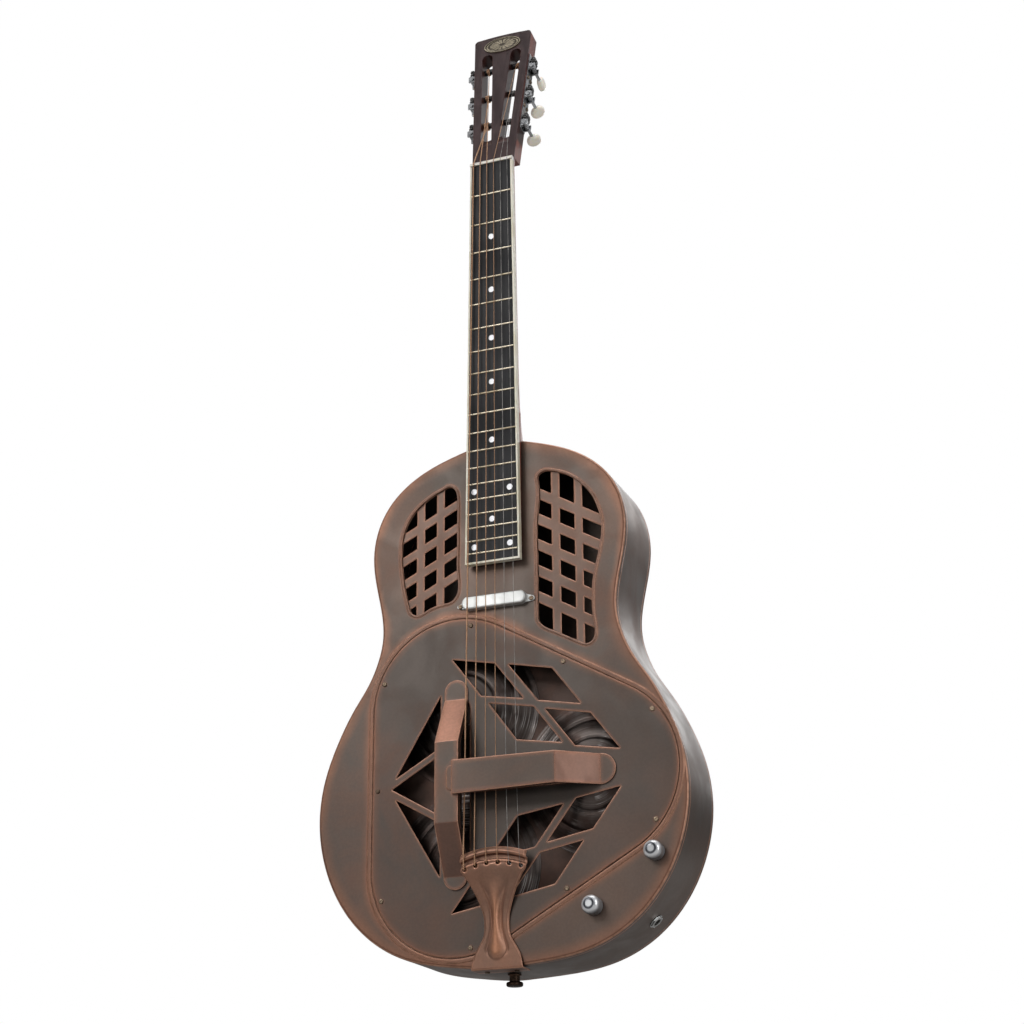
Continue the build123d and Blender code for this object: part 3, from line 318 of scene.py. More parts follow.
# ------------------------------------------------------------------ aged copper
TAUPE = srgb(90, 82, 76)
BROWN = srgb(108, 90, 80)
WARM = srgb(134, 94, 76)
ORANGE = srgb(156, 106, 80)
BRIGHT = srgb(236, 178, 148)
# Dark colour of the painted shade in crevices and hollows
CREVICE_SHADE = srgb(34, 27, 24)
GLOW_AMOUNT = {"body": 0.56, "cover": 0.38, "tail": 0.4}  # strength of the orange


def rest_facet_light_and_shade(g, colour):
    """Handrest facets with painted light and shade by the way they face."""
    facing = g.split(g.normal)
    front = g.fade(facing[1], -0.5, -0.7)
    # Front facets turned up, down and towards +X, with the tone each one takes: a painted highlight on those
    # turned up and towards +X, painted shade on those turned down
    for axis, start, end, amount, tone in (
            (2, 0.08, 0.24, 0.92, srgb(216, 160, 136)),
            (2, -0.08, -0.24, 0.6, srgb(140, 104, 90)),
            (0, 0.04, 0.14, 0.6, srgb(146, 106, 90))):
        turned = g.fade(facing[axis], start, end, high=amount)
        colour = g.mix(g.mul(turned, front), colour, tone)
    # Painted shade on the sides
    return g.mix(g.fade(facing[1], -0.45, -0.15, high=0.7), colour, srgb(44, 36, 36))


def body_wall_light_and_border(g, colour, wobble):
    """Body colour with painted shade and painted light on the walls, and the mask of its orange borders."""
    x, y, z = g.position()
    from_edge = g.add(edge_distance(g), wobble)
    from_cover = g.add(g.sub(hull_distance(g), 0.0875), wobble)
    flat = g.fade(g.abs(y), 0.0388, 0.0396)
    outline = g.mul(g.fade(from_edge, 0.016, 0.001), flat)
    cover_ring = g.mul(g.fade(g.abs(from_cover), 0.0085, 0.0, high=0.85),
                       g.fade(y, -0.0385, -0.0395))
    facing = g.split(g.normal)
    wall = g.fade(g.abs(facing[1]), 0.8, 0.4)
    wall_rim = g.mul(g.fade(g.abs(y), 0.0355, 0.0395, high=0.7), wall)
    # Walls are darker where they face up and paler where they face down: painted shade and painted light by the
    # way they face
    up = g.fade(facing[2], 0.05, 0.6, high=0.4)
    colour = g.mix(g.mul(wall, up), colour, srgb(46, 40, 38))
    down_wall_light = g.fade(facing[2], 0.05, -0.6, low=0.12, high=0.5)
    colour = g.mix(g.mul(wall, down_wall_light), colour, srgb(128, 114, 106))
    return colour, g.max(outline, cover_ring, wall_rim)


def cover_border(g, wobble):
    """Orange border on the front of the cone cover."""
    x, y, z = g.position()
    from_edge = g.add(g.sub(0.084, hull_distance(g)), wobble)
    return g.mul(g.fade(from_edge, 0.008, 0.0), g.fade(y, -0.0400, -0.0408),
                 g.fade(y, -0.0425, -0.0418))


def tail_tone_with_painted_light(g, colour):
    """Tailpiece: painted highlight on the spine and spoon, bright ridges, painted shade in the hollows."""
    x, y, z = g.position()
    colour = g.mix(0.42, colour, srgb(178, 128, 102))
    crease = g.shared("ShaderNodeNewGeometry")["Pointiness"]
    spine = g.mul(g.fade(g.abs(x), 0.0062, 0.0012),
                  g.mul(g.fade(z, 0.006, 0.012), g.fade(z, 0.078, 0.045)))
    offset = g.vec("SUBTRACT", g.place, (0.0, -0.0465, 0.0165))
    spoon_highlight = g.fade(g.vec("LENGTH", g.vec("MULTIPLY", offset, (1.0, 0.0, 0.8))),
                   0.0075, 0.003)
    # Painted highlight on the spine and the spoon
    colour = g.mix(g.mul(g.max(spine, spoon_highlight), 0.75), colour, srgb(206, 146, 112))
    colour = g.mix(g.fade(crease, 0.508, 0.56, high=0.85), colour, BRIGHT)
    # Painted shade in the hollows
    return g.mix(g.fade(crease, 0.492, 0.45, high=0.85), colour, CREVICE_SHADE)


def aged_copper(name, part):
    g = material_graph(name)
    large = g.noise(scale=7.0, rough=0.55, seed=1.3)
    medium = g.noise(scale=22.0, detail=4.0, rough=0.6, seed=4.1, distort=0.6)
    fine = g.noise(scale=420.0, detail=2.0, rough=0.6)
    streak = g.noise(scale=60.0, rough=0.6, stretch=(1.0, 1.0, 0.16), seed=2.2)

    # Broad patches of taupe, brown and warm brown
    patch = g.fade(g.weighted((large, 0.75), (medium, 0.25)), 0.40, 0.64)
    colour = g.mix(patch, TAUPE, BROWN)
    drift = g.noise(scale=4.2, detail=2.0, seed=9.0)
    warm = g.fade(g.weighted((drift, 0.7), (medium, 0.3)), 0.50, 0.72,
                  high=0.30 if part == "cover" else 0.5)
    colour = g.mix(warm, colour, WARM)
    if part == "rest":
        colour = rest_facet_light_and_shade(g, colour)
    if part == "grille":
        colour = g.mix(0.30, colour, srgb(124, 92, 77))

    # Orange towards the borders
    if part in GLOW_AMOUNT:
        if part == "tail":
            glow = g.fade(medium, 0.45, 0.65, low=0.25, high=0.8)
        else:
            wobble = g.math("MULTIPLY_ADD", medium, 0.010, -0.005)
            if part == "body":
                colour, glow = body_wall_light_and_border(g, colour, wobble)
            else:
                glow = cover_border(g, wobble)
        glow = g.mul(glow, g.fade(large, 0.30, 0.62, low=0.45))
        colour = g.mix(g.mul(glow, GLOW_AMOUNT[part]), colour, ORANGE)
    if part == "cover":
        colour = g.mix(1.0, colour, (0.84, 0.84, 0.85, 1.0), "MULTIPLY")
    if part == "tail":
        colour = tail_tone_with_painted_light(g, colour)

    # Soft rub round the edges, then hard bright wear in chips
    rounded = g.bevel(radius=0.0017, samples=8)
    wear = g.edge(rounded, 0.006, 0.085)
    wide_bevel = g.bevel(radius=0.0058 if part == "rest" else 0.0040, samples=6)
    wide = g.edge(wide_bevel, 0.006, 0.16)
    openness = g.openness(0.006)
    specks = g.noise(scale=160.0, detail=4.0, rough=0.65)
    chips = g.fade(g.weighted((specks, 0.6), (medium, 0.4)), 0.34, 0.56, low=0.35)
    exposed = g.fade(openness, 0.50, 0.86)
    colour = g.mix(g.mul(wide, 0.62, exposed), colour, srgb(164, 112, 88))
    facing_y = g.abs(g.split(g.normal)[1])
    start, end = (0.80, 0.62) if part == "rest" else (0.95, 0.80)
    turn = g.mul(g.fade(facing_y, start, end), g.fade(facing_y, 0.12, 0.38))
    if part == "tail":
        turn = g.mul(turn, 0.5)
    hard = g.mul(g.max(wear, g.mul(turn, 0.8)), chips, exposed)
    colour = g.mix(g.mul(hard, 0.9), colour, BRIGHT)

    # Painted shade in corners and crevices, faint streaks and specks
    colour = g.mix(g.fade(openness, 0.62, 0.18, high=0.8), colour, CREVICE_SHADE)
    colour = g.mix(g.fade(streak, 0.42, 0.75, high=0.16), colour, srgb(84, 76, 72))
    colour = g.mix(g.fade(fine, 0.35, 0.65, high=0.10), colour, srgb(60, 52, 48))
    rough = g.add(g.fade(medium, 0.3, 0.7, low=0.36, high=0.50), g.mul(hard, -0.10))
    height = g.weighted((fine, 0.35), (medium, 0.65))
    normal = g.bump(height, strength=0.05, distance=0.0006, normal=rounded)
    metallic = g.sub(0.76, g.mul(hard, 0.6))
    return g.shade(colour, rough, normal, metallic=metallic, Specular_IOR_Level=0.5)


# ------------------------------------------------------------------ other materials
def simple_metal(name, base, dark, rough, metallic=1.0, scale=220.0, bump=0.05,
                 edge_bright=None, radius=0.0004, corner_shade=0.5):
    g = material_graph(name)
    grain = g.noise(scale=scale, detail=4.0, rough=0.6)
    blotch = g.noise(scale=scale * 0.12, seed=3.0)
    mottle = g.weighted((grain, 0.4), (blotch, 0.6))
    colour = g.mix(g.fade(mottle, 0.4, 0.66), base, dark)
    rounded = g.bevel(radius)
    if edge_bright is not None:
        colour = g.mix(g.mul(g.edge(rounded), 0.75), colour, edge_bright)
    # Painted shade in tight corners
    colour = g.corner_shade(colour, (0.01, 0.009, 0.008, 1), distance=0.003, amount=corner_shade)
    return g.shade(colour, g.fade(blotch, 0.3, 0.7, low=rough * 0.8, high=rough * 1.25),
                   g.bump(grain, bump, distance=0.0003, normal=rounded),
                   metallic=metallic)


def spun_aluminium(name, centre):
    """Lathe-turned sheet: rings round the cone's own axis, with radial smears and painted highlight arcs."""
    g = material_graph(name)
    offset = g.vec("MULTIPLY", g.vec("SUBTRACT", g.place, centre), (1.0, 0.0, 1.0))
    radius = g.vec("LENGTH", offset)
    plan = g.split(offset)
    angle = g.math("ARCTAN2", plan[2], plan[0])
    # Noise space that moves with the radius and hardly with the angle
    ring_space = g.new("ShaderNodeCombineXYZ")
    g.put_all(ring_space, g.mul(radius, 1.0), g.mul(g.math("SINE", angle), 0.0004),
              g.mul(g.math("COSINE", angle), 0.0004))
    ring_at = ring_space.outputs[0]
    rings = g.noise(scale=900.0, rough=0.7, at=ring_at)
    bands = g.noise(scale=150.0, detail=2.0, at=ring_at, seed=5.0)
    groove_pitch = 0.0011
    groove = g.math("SINE", g.mul(radius, 2 * pi / groove_pitch))
    smear = g.noise(scale=30.0, rough=0.6, seed=7.7)
    colour = g.mix(g.fade(rings, 0.3, 0.7), srgb(84, 75, 71), srgb(116, 108, 104))
    colour = g.mix(g.fade(bands, 0.42, 0.62, high=0.35), colour, srgb(70, 58, 53))
    colour = g.mix(g.fade(smear, 0.38, 0.62, high=0.8), colour, srgb(66, 49, 43))
    # Painted highlight arcs, each within a fan of angles
    direction = g.vec("SCALE", g.vec("NORMALIZE", offset), scale=1.0)
    glint_fan = g.noise(scale=2.1, detail=1.0, rough=0.4, at=direction,
                  seed=centre[0] * 40 + centre[2] * 9)
    glint_arc = g.mul(g.fade(glint_fan, 0.56, 0.66), g.fade(rings, 0.50, 0.66))
    colour = g.mix(g.mul(glint_arc, 0.6), colour, srgb(214, 208, 205))
    height = g.weighted((groove, 0.6), (rings, 0.6))
    return g.shade(colour, g.fade(rings, 0.25, 0.75, low=0.30, high=0.44),
                   g.bump(height, strength=0.22, distance=0.00022), metallic=0.9)


def well_paint(name):
    g = material_graph(name)
    blotch = g.noise(scale=30.0, detail=4.0, rough=0.6)
    fine = g.noise(scale=700.0, detail=2.0)
    colour = g.mix(g.fade(blotch, 0.35, 0.65), srgb(78, 60, 52), srgb(106, 80, 69))
    # Painted shade deep in the well
    colour = g.corner_shade(colour, srgb(16, 12, 11), distance=0.02, amount=0.7,
                     start=0.8, end=0.2)
    return g.shade(colour, g.fade(blotch, 0.3, 0.7, low=0.42, high=0.6),
                   g.bump(fine, strength=0.12, distance=0.0003), metallic=0.5)


def wood(name, dark, light, pore, rough, scale, grain, coat, bevel, specular):
    """Wood with its figure along Z; a smaller grain draws it out longer."""
    g = material_graph(name)
    along = (14.0, 14.0, grain)
    figure = g.noise(scale=9.0 * scale, detail=4.0, rough=0.6, stretch=along,
                     distort=0.7)
    band = g.noise(scale=26.0 * scale, rough=0.55, stretch=along, seed=2.0)
    pores = g.noise(scale=95.0 * scale, rough=0.75, stretch=(14.0, 14.0, grain * 1.6),
                    seed=6.0)
    blotch = g.noise(scale=14.0, detail=2.0, seed=8.0)
    colour = g.mix(g.fade(figure, 0.34, 0.68), dark, light)
    colour = g.mix(g.fade(band, 0.48, 0.70, high=0.45), colour, dark)
    colour = g.mix(g.fade(pores, 0.60, 0.72, high=0.75), colour, pore)
    colour = g.mix(g.fade(blotch, 0.4, 0.7, high=0.18), colour, pore)
    height = g.sub(g.mul(figure, 0.3), g.fade(pores, 0.58, 0.74, high=0.7))
    normal = g.bump(height, strength=0.16, distance=0.0003, normal=g.bevel(bevel))
    return g.shade(colour, g.fade(blotch, 0.3, 0.7, low=rough * 0.85, high=rough * 1.2),
                   normal, Coat_Weight=coat, Coat_Roughness=0.22,
                   Specular_IOR_Level=specular)


def neck_wood(name):
    """Reddish neck with a dark face veneer on the headstock."""
    g = material_graph(name)
    x, y, z = g.position()
    figure = g.noise(scale=9.0, detail=4.0, rough=0.6, stretch=(16.0, 16.0, 0.9),
                     distort=0.6)
    pores = g.noise(scale=110.0, rough=0.75, stretch=(10.0, 10.0, 1.1), seed=6.0)
    red = g.mix(g.fade(figure, 0.34, 0.68), srgb(112, 56, 48), srgb(168, 96, 80))
    red = g.mix(g.fade(pores, 0.58, 0.72, high=0.7), red, srgb(52, 26, 24))
    veneer = g.mix(g.fade(figure, 0.3, 0.7), srgb(48, 31, 31), srgb(67, 46, 46))
    veneer = g.mix(g.fade(pores, 0.58, 0.72, high=0.6), veneer, srgb(24, 16, 17))
    # Distance behind the tilted headstock face
    offset = g.vec("SUBTRACT", g.place, (0.0, HEAD_FOOT_Y, HEAD_FOOT_Z))
    depth = g.vec("DOT_PRODUCT", offset, (0.0, TILT_COS, -TILT_SIN))
    on_face = g.mul(g.fade(depth, 0.0016, 0.0011), g.fade(z, 0.806, 0.809))
    # Darker in the middle of the headstock behind the veneer
    inner = g.mul(g.fade(g.abs(x), 0.0262, 0.0250), g.fade(z, 0.836, 0.842))
    red = g.mix(g.mul(inner, 0.85), red, srgb(40, 28, 27))
    colour = g.mix(on_face, red, veneer)
    rounded = g.bevel(radius=0.0009, samples=5)
    colour = g.mix(g.mul(g.edge(rounded), 0.35), colour, srgb(150, 96, 84))
    # Painted shade in tight corners
    colour = g.corner_shade(colour, srgb(14, 9, 9), distance=0.004, amount=0.7)
    height = g.sub(g.mul(figure, 0.3), g.fade(pores, 0.58, 0.74, high=0.6))
    normal = g.bump(height, strength=0.12, distance=0.0003, normal=rounded)
    return g.shade(colour, g.fade(figure, 0.3, 0.7, low=0.30, high=0.42), normal,
                   Coat_Weight=0.08, Coat_Roughness=0.25, Specular_IOR_Level=0.36)


def plastic(name, base, tint, rough, scale, radius=0.0004, subsurface=0.0, swirl=0.0,
            corner_shade=0.35, bump=0.03, glow=0.0):
    g = material_graph(name)
    cloud = g.noise(scale=scale, detail=4.0, rough=0.6, distort=swirl)
    fine = g.noise(scale=scale * 14, detail=2.0, seed=2.0)
    colour = g.mix(g.fade(cloud, 0.35, 0.68), base, tint)
    # Painted shade in corners, brownish
    if corner_shade:
        colour = g.corner_shade(colour, srgb(60, 46, 34), distance=0.002, amount=corner_shade,
                         start=0.6)
    # Emission of strength glow makes the plastic self-lit: painted light
    return g.shade(colour, g.fade(cloud, 0.3, 0.7, low=rough * 0.8, high=rough * 1.3),
                   g.bump(fine, bump, distance=0.0003, normal=g.bevel(radius)),
                   Subsurface_Weight=subsurface, Subsurface_Scale=0.002,
                   Coat_Weight=0.3, Coat_Roughness=0.12,
                   Emission_Color=colour, Emission_Strength=glow)


def chrome(name):
    g = material_graph(name)
    cloud = g.noise(scale=50.0, rough=0.6)
    scratch = g.noise(scale=1500.0, detail=2.0)
    colour = g.mix(g.fade(cloud, 0.4, 0.7, high=0.5), srgb(184, 186, 186),
                   srgb(158, 161, 163))
    normal = g.bump(scratch, strength=0.012, distance=0.0002, normal=g.bevel(0.0005))
    return g.shade(colour, g.fade(cloud, 0.3, 0.75, low=0.16, high=0.26), normal,
                   metallic=1.0)


def reflection_painted_cap(name, node):
    """Polished cap with a painted reflection: bright crown, dark band and bright rim."""
    g = material_graph(name)
    cloud = g.noise(scale=60.0, rough=0.6)
    low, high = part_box(node)
    radius = (high.x - low.x) / 2
    # The crown of the painted reflection sits slightly off centre
    crown = ((low.x + high.x) / 2 - 0.0004, 0.0, (low.z + high.z) / 2 + 0.0005)
    offset = g.vec("MULTIPLY", g.vec("SUBTRACT", g.place, crown), (1.0, 0.0, 1.0))
    ring = g.math("DIVIDE", g.vec("LENGTH", offset), radius)
    ring = g.add(ring, g.math("MULTIPLY_ADD", cloud, 0.06, -0.03))
    colour = g.ramp(ring, [
        (0.0, srgb(252, 253, 254)), (0.30, srgb(244, 246, 248)), (0.40, srgb(84, 86, 92)),
        (0.54, srgb(52, 53, 58)), (0.64, srgb(228, 230, 234)), (0.88, srgb(252, 253, 254)),
        (1.0, srgb(188, 190, 194))])
    # Painted highlight near the top, painted shade at the bottom of the rim
    up = g.math("DIVIDE", g.split(offset)[2], radius)
    colour = g.mix(g.mul(g.fade(up, 0.5, 0.9), g.fade(ring, 0.6, 0.3)), colour,
                   srgb(240, 242, 245))
    colour = g.mix(g.mul(g.fade(up, -0.45, -0.95, high=0.5), g.fade(ring, 0.7, 0.9)),
                   colour, srgb(58, 58, 62))
    return g.shade(colour, g.fade(cloud, 0.3, 0.7, low=0.12, high=0.2),
                   g.bevel(0.0004), metallic=0.5)


def wound_string(name, base, dark):
    g = material_graph(name)
    x, y, z = g.position()
    along = g.weighted((z, 1.0), (g.add(x, y), 0.12))
    winding_pitch = 0.00055
    winding = g.math("SINE", g.mul(along, 2 * pi / winding_pitch))
    # Darker in the grooves between the windings: painted shade
    colour = g.mix(g.fade(winding, -0.9, 0.6), dark, base)
    tarnish = g.noise(scale=60.0, rough=0.6)
    colour = g.mix(g.fade(tarnish, 0.45, 0.7, high=0.4), colour, dark)
    return g.shade(colour, 0.34, g.bump(winding, strength=0.3, distance=0.0001),
                   metallic=0.6)


def plain_string(name, base, dark):
    g = material_graph(name)
    cloud = g.noise(scale=120.0, rough=0.6)
    colour = g.mix(g.fade(cloud, 0.4, 0.7), base, dark)
    return g.shade(colour, g.fade(cloud, 0.3, 0.7, low=0.34, high=0.46),
                   g.bump(cloud, strength=0.03, distance=0.0001), metallic=0.8)


def badge_metal(name):
    """Aged brass oval with a raised border and petal rosette."""
    g = material_graph(name)
    up_face = 0.162  # badge centre, up the headstock face from its foot
    half_height, half_width, petals = 0.0098, 0.0205, 8.0
    centre = (0.0, HEAD_FOOT_Y + up_face * TILT_SIN, HEAD_FOOT_Z + up_face * TILT_COS)
    offset = g.vec("SUBTRACT", g.place, centre)
    up = g.math("DIVIDE", g.vec("DOT_PRODUCT", offset, (0.0, TILT_SIN, TILT_COS)),
                half_height)
    across = g.math("DIVIDE", g.split(offset)[0], half_width)
    radius = g.math("SQRT", g.add(g.mul(up, up), g.mul(across, across)))
    angle = g.math("ARCTAN2", up, across)
    lobes = g.fade(g.abs(g.math("SINE", g.mul(angle, petals))), 0.15, 0.75)
    rosette = g.mul(lobes, g.mul(g.fade(radius, 0.12, 0.25), g.fade(radius, 0.74, 0.62)))
    ring = g.mul(g.fade(radius, 0.78, 0.82), g.fade(radius, 0.90, 0.86))
    raised = g.max(rosette, g.max(ring, g.fade(radius, 0.93, 0.96)))
    grain = g.noise(scale=240.0, detail=4.0, rough=0.6)
    colour = g.mix(raised, srgb(66, 60, 54), srgb(158, 148, 128))
    colour = g.mix(g.fade(grain, 0.45, 0.7, high=0.5), colour, srgb(88, 80, 68))
    height = g.add(raised, g.mul(grain, 0.2))
    return g.shade(colour, g.fade(grain, 0.3, 0.7, low=0.34, high=0.52),
                   g.bump(height, strength=0.5, distance=0.0004), metallic=0.85)


def pearl(name):
    g = material_graph(name)
    swirl = g.noise(scale=420.0, rough=0.6, distort=1.5)
    colour = g.ramp(swirl, [
        (0.30, srgb(196, 204, 210)), (0.48, srgb(240, 243, 244)),
        (0.60, srgb(222, 216, 226)), (0.74, srgb(205, 222, 216))])
    return g.shade(colour, 0.18, g.bump(swirl, strength=0.03, distance=0.0002),
                   metallic=0.1, Coat_Weight=0.6, Coat_Roughness=0.08)


MATS = {
    "body_copper": aged_copper("aged_copper_body", "body"),
    "cover_copper": aged_copper("aged_copper_cover", "cover"),
    "tail_copper": aged_copper("aged_copper_tail", "tail"),
    "screw_steel": simple_metal(
        "worn_screw_steel", srgb(150, 132, 112), srgb(84, 70, 60), rough=0.36,
        edge_bright=srgb(206, 184, 156)),
    "dark_steel": simple_metal(
        "dark_bronze", srgb(104, 84, 70), srgb(58, 46, 40), rough=0.36,
        edge_bright=srgb(150, 112, 90), radius=0.0009),
    "well_steel": well_paint("sound_well_paint"),
    "maple": wood(
        "maple_bridge", srgb(150, 112, 74), srgb(196, 156, 108), srgb(104, 74, 46),
        rough=0.4, scale=1.0, grain=1.2, coat=0.25, bevel=0.0006, specular=0.5),
    "mahogany": neck_wood("mahogany_neck"),
    "ebony": wood(
        "ebony_board", srgb(18, 18, 20), srgb(34, 33, 36), srgb(8, 8, 9),
        rough=0.46, scale=1.6, grain=0.9, coat=0.0, bevel=0.0003, specular=0.25),
    "cream_plastic": plastic(
        "cream_binding", srgb(246, 240, 220), srgb(232, 222, 192), rough=0.3,
        scale=50.0, subsurface=0.05),
    "fret_nickel": simple_metal(
        "fret_nickel", srgb(206, 196, 176), srgb(160, 146, 122), rough=0.24, corner_shade=0.6),
    "pearl": pearl("pearl_inlay"),
    "bone": plastic(
        "bone_nut", srgb(250, 247, 238), srgb(238, 232, 214), rough=0.34, scale=90.0,
        subsurface=0.08),
    "badge_brass": badge_metal("aged_brass_badge"),
    "tuner_nickel": simple_metal(
        "tuner_nickel", srgb(196, 198, 200), srgb(140, 140, 142), rough=0.30,
        edge_bright=srgb(228, 230, 232), corner_shade=0.8),
    "tuner_dark": simple_metal(
        "tuner_gear_dark", srgb(74, 72, 72), srgb(34, 33, 34), rough=0.34,
        edge_bright=srgb(168, 166, 164), corner_shade=0.7),
    # The buttons glow faintly: painted light
    "button_cream": plastic(
        "button_ivory_self_lit", srgb(253, 250, 240), srgb(246, 236, 214), rough=0.24,
        scale=180.0, radius=0.0006, subsurface=0.2, swirl=2.0, corner_shade=0.12, glow=0.2),
    "chrome": chrome("polished_chrome"),
    # Knob caps with a painted reflection
    "knob_v": reflection_painted_cap("cap_volume_painted_reflection", "volume_knob"),
    "knob_t": reflection_painted_cap("cap_tone_painted_reflection", "tone_knob"),
    "satin": simple_metal(
        "satin_nickel_cover", srgb(228, 229, 226), srgb(204, 205, 203), rough=0.38,
        metallic=0.62, scale=90.0, bump=0.04, edge_bright=srgb(226, 226, 224),
        radius=0.0005, corner_shade=0.3),
    "rest": aged_copper("aged_copper_rest", "rest"),
    "grille": aged_copper("aged_copper_grille", "grille"),
    "pot_steel": simple_metal(
        "pot_steel", srgb(170, 170, 168), srgb(128, 126, 122), rough=0.36, corner_shade=0.4),
    "black_plastic": plastic(
        "black_plastic", srgb(22, 22, 23), srgb(34, 33, 34), rough=0.45, scale=120.0,
        corner_shade=0.0, bump=0.1),
    "bronze_string": wound_string("bronze_wound", srgb(222, 176, 138), srgb(126, 90, 68)),
    "steel_string": plain_string("plain_steel", srgb(168, 164, 160), srgb(122, 118, 116)),
}
CONE_MATS = {cone: spun_aluminium("spun_aluminium_" + letter, CONES[cone])
             for cone, letter in zip(CONES, "abc")}
# Pieces whose material differs from that of their slot
NODE_MAT = {
    "handrest_cover": "rest", "grille_bass": "grille", "grille_treble": "grille",
    "volume_knob": "knob_v", "tone_knob": "knob_t", "pickup_cover": "satin",
    "t_bridge": "pot_steel"}

for name, piece in NODES.items():
    key = NODE_MAT.get(name, SLOT_OF[name])
    material = CONE_MATS.get(name) or MATS.get(key, MATS["chrome"])
    if not piece.material_slots:
        piece.data.materials.append(material)
    for slot in piece.material_slots:
        slot.material = material


# ------------------------------------------------------------------ mesh helpers
def mesh_object(name, verts, faces, material):
    """Smooth-shaded object with its normals made consistent."""
    mesh = bpy.data.meshes.new(name)
    mesh.from_pydata([tuple(vert) for vert in verts], [], faces)
    mesh.update()
    for face in mesh.polygons:
        face.use_smooth = True
    piece = bpy.data.objects.new(name, mesh)
    bpy.context.scene.collection.objects.link(piece)
    mesh.materials.append(material)
    bm = bmesh.new()
    bm.from_mesh(mesh)
    bmesh.ops.recalc_face_normals(bm, faces=bm.faces)
    bm.to_mesh(mesh)
    bm.free()
    return piece


def sharpen(piece, degrees):
    """Smooth faces, with edges over an angle kept sharp."""
    bm = bmesh.new()
    bm.from_mesh(piece.data)
    for face in bm.faces:
        face.smooth = True
    for edge in bm.edges:
        edge.smooth = not (len(edge.link_faces) == 2
                           and edge.calc_face_angle(0.0) > radians(degrees))
    bm.to_mesh(piece.data)
    bm.free()


def tube(path, radius, segments):
    """Vertices and faces of a round, capped tube along a list of points."""
    verts, faces = [], []
    last = len(path) - 1
    side = None
    for i, point in enumerate(path):
        along = (path[min(i + 1, last)] - path[max(i - 1, 0)]).normalized()
        if side is None:
            side = along.orthogonal().normalized()
        side = (side - along * side.dot(along)).normalized()
        other = along.cross(side)
        for k in range(segments):
            angle = 2 * pi * k / segments
            verts.append(point + (side * cos(angle) + other * sin(angle)) * radius)
    for i in range(last):
        for k in range(segments):
            a = i * segments + k
            b = i * segments + (k + 1) % segments
            faces.append((a, b, b + segments, a + segments))
    faces.append(tuple(range(segments))[::-1])
    faces.append(tuple(last * segments + k for k in range(segments)))
    return verts, faces


def catmull(points, steps):
    """steps + 1 points on a smooth curve through points, each a tuple."""
    curve = []
    spans = len(points) - 1
    for i in range(steps + 1):
        t = i * spans / steps
        k = min(int(t), spans - 1)
        f = t - k
        near = (points[max(k - 1, 0)], points[k], points[k + 1], points[min(k + 2, spans)])
        curve.append(tuple(
            0.5 * ((2 * b) + (c - a) * f + (2 * a - 5 * b + 4 * c - d) * f * f
                   + (3 * b - a - 3 * c + d) * f ** 3)
            for a, b, c, d in zip(*near)))
    return curve


def lookup(table, x):
    """Smooth value of a table of (x, value) pairs."""
    last = len(table) - 1

    def slope(j):
        if j <= 0 or j >= last:
            j = min(max(j, 1), last)
            a, b = j - 1, j
        else:
            a, b = j - 1, j + 1
        return (table[b][1] - table[a][1]) / (table[b][0] - table[a][0])

    if x <= table[0][0]:
        return table[0][1]
    for i in range(last):
        if x <= table[i + 1][0]:
            x0, y0 = table[i]
            x1, y1 = table[i + 1]
            h = x1 - x0
            t = (x - x0) / h
            return ((2 * t ** 3 - 3 * t ** 2 + 1) * y0
                    + (t ** 3 - 2 * t ** 2 + t) * h * slope(i)
                    + (-2 * t ** 3 + 3 * t ** 2) * y1
                    + (t ** 3 - t ** 2) * h * slope(i + 1))
    return table[-1][1]


def step(start, end, x):
    """Smooth rise from 0 at start to 1 at end."""
    t = min(max((x - start) / (end - start), 0.0), 1.0)
    return t * t * (3 - 2 * t)


# ------------------------------------------------------------------ spun cones, mm
# Radius and height forward of the rim, from the foot of the slope to the crown
CONE_PROFILE = [
    (67.5, 0.0), (65.0, 1.0), (56.0, 5.2), (52.0, 5.6), (48.5, 8.2), (38.0, 12.0),
    (34.5, 12.4), (31.0, 15.0), (20.0, 19.2), (12.0, 22.6), (6.0, 24.0), (0.35, 24.2)]
CONE_RIM = [(72.4, 0.0), (70.0, 0.0)]
CONE_THICK = 0.55
RIDGE_HEIGHT, RIDGE_PITCH = 0.07, 1.55
CONE_SEGMENTS = 144


def spun_cone(name):
    """A CAD cone's profile turned on a lathe, with fine tool ridges on the front."""
    centre = CONES[name]
    rim_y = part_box(name)[1].y
    outer, inner = [], []
    for r, h in CONE_RIM + catmull(CONE_PROFILE, 150):
        ridge = (RIDGE_HEIGHT * sin(2 * pi * r / RIDGE_PITCH)
                 * step(1.0, 8.0, r) * step(67.0, 63.0, r))
        outer.append((r, h + CONE_THICK + ridge))
        inner.append((r, h))
    loop = outer + inner[::-1]
    verts, faces = [], []
    for r, h in loop:
        for k in range(CONE_SEGMENTS):
            a = 2 * pi * k / CONE_SEGMENTS
            verts.append((centre[0] + r * cos(a) / 1000, rim_y - h / 1000,
                          centre[2] + r * sin(a) / 1000))
    crown = len(outer) - 1
    for i in range(len(loop)):
        if i == crown:
            continue
        row, next_row = i * CONE_SEGMENTS, (i + 1) % len(loop) * CONE_SEGMENTS
        for k in range(CONE_SEGMENTS):
            k2 = (k + 1) % CONE_SEGMENTS
            faces.append((row + k, row + k2, next_row + k2, next_row + k))
    # Crown discs close the front and back skins
    front = crown * CONE_SEGMENTS
    back = front + CONE_SEGMENTS
    faces.append(tuple(range(front, back)))
    faces.append(tuple(range(back, back + CONE_SEGMENTS))[::-1])
    piece = mesh_object(name.replace("cone", "spun_cone"), verts, faces, CONE_MATS[name])
    sharpen(piece, 50.0)
    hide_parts(name)
    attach(piece, "guitar")


for name in CONES:
    spun_cone(name)

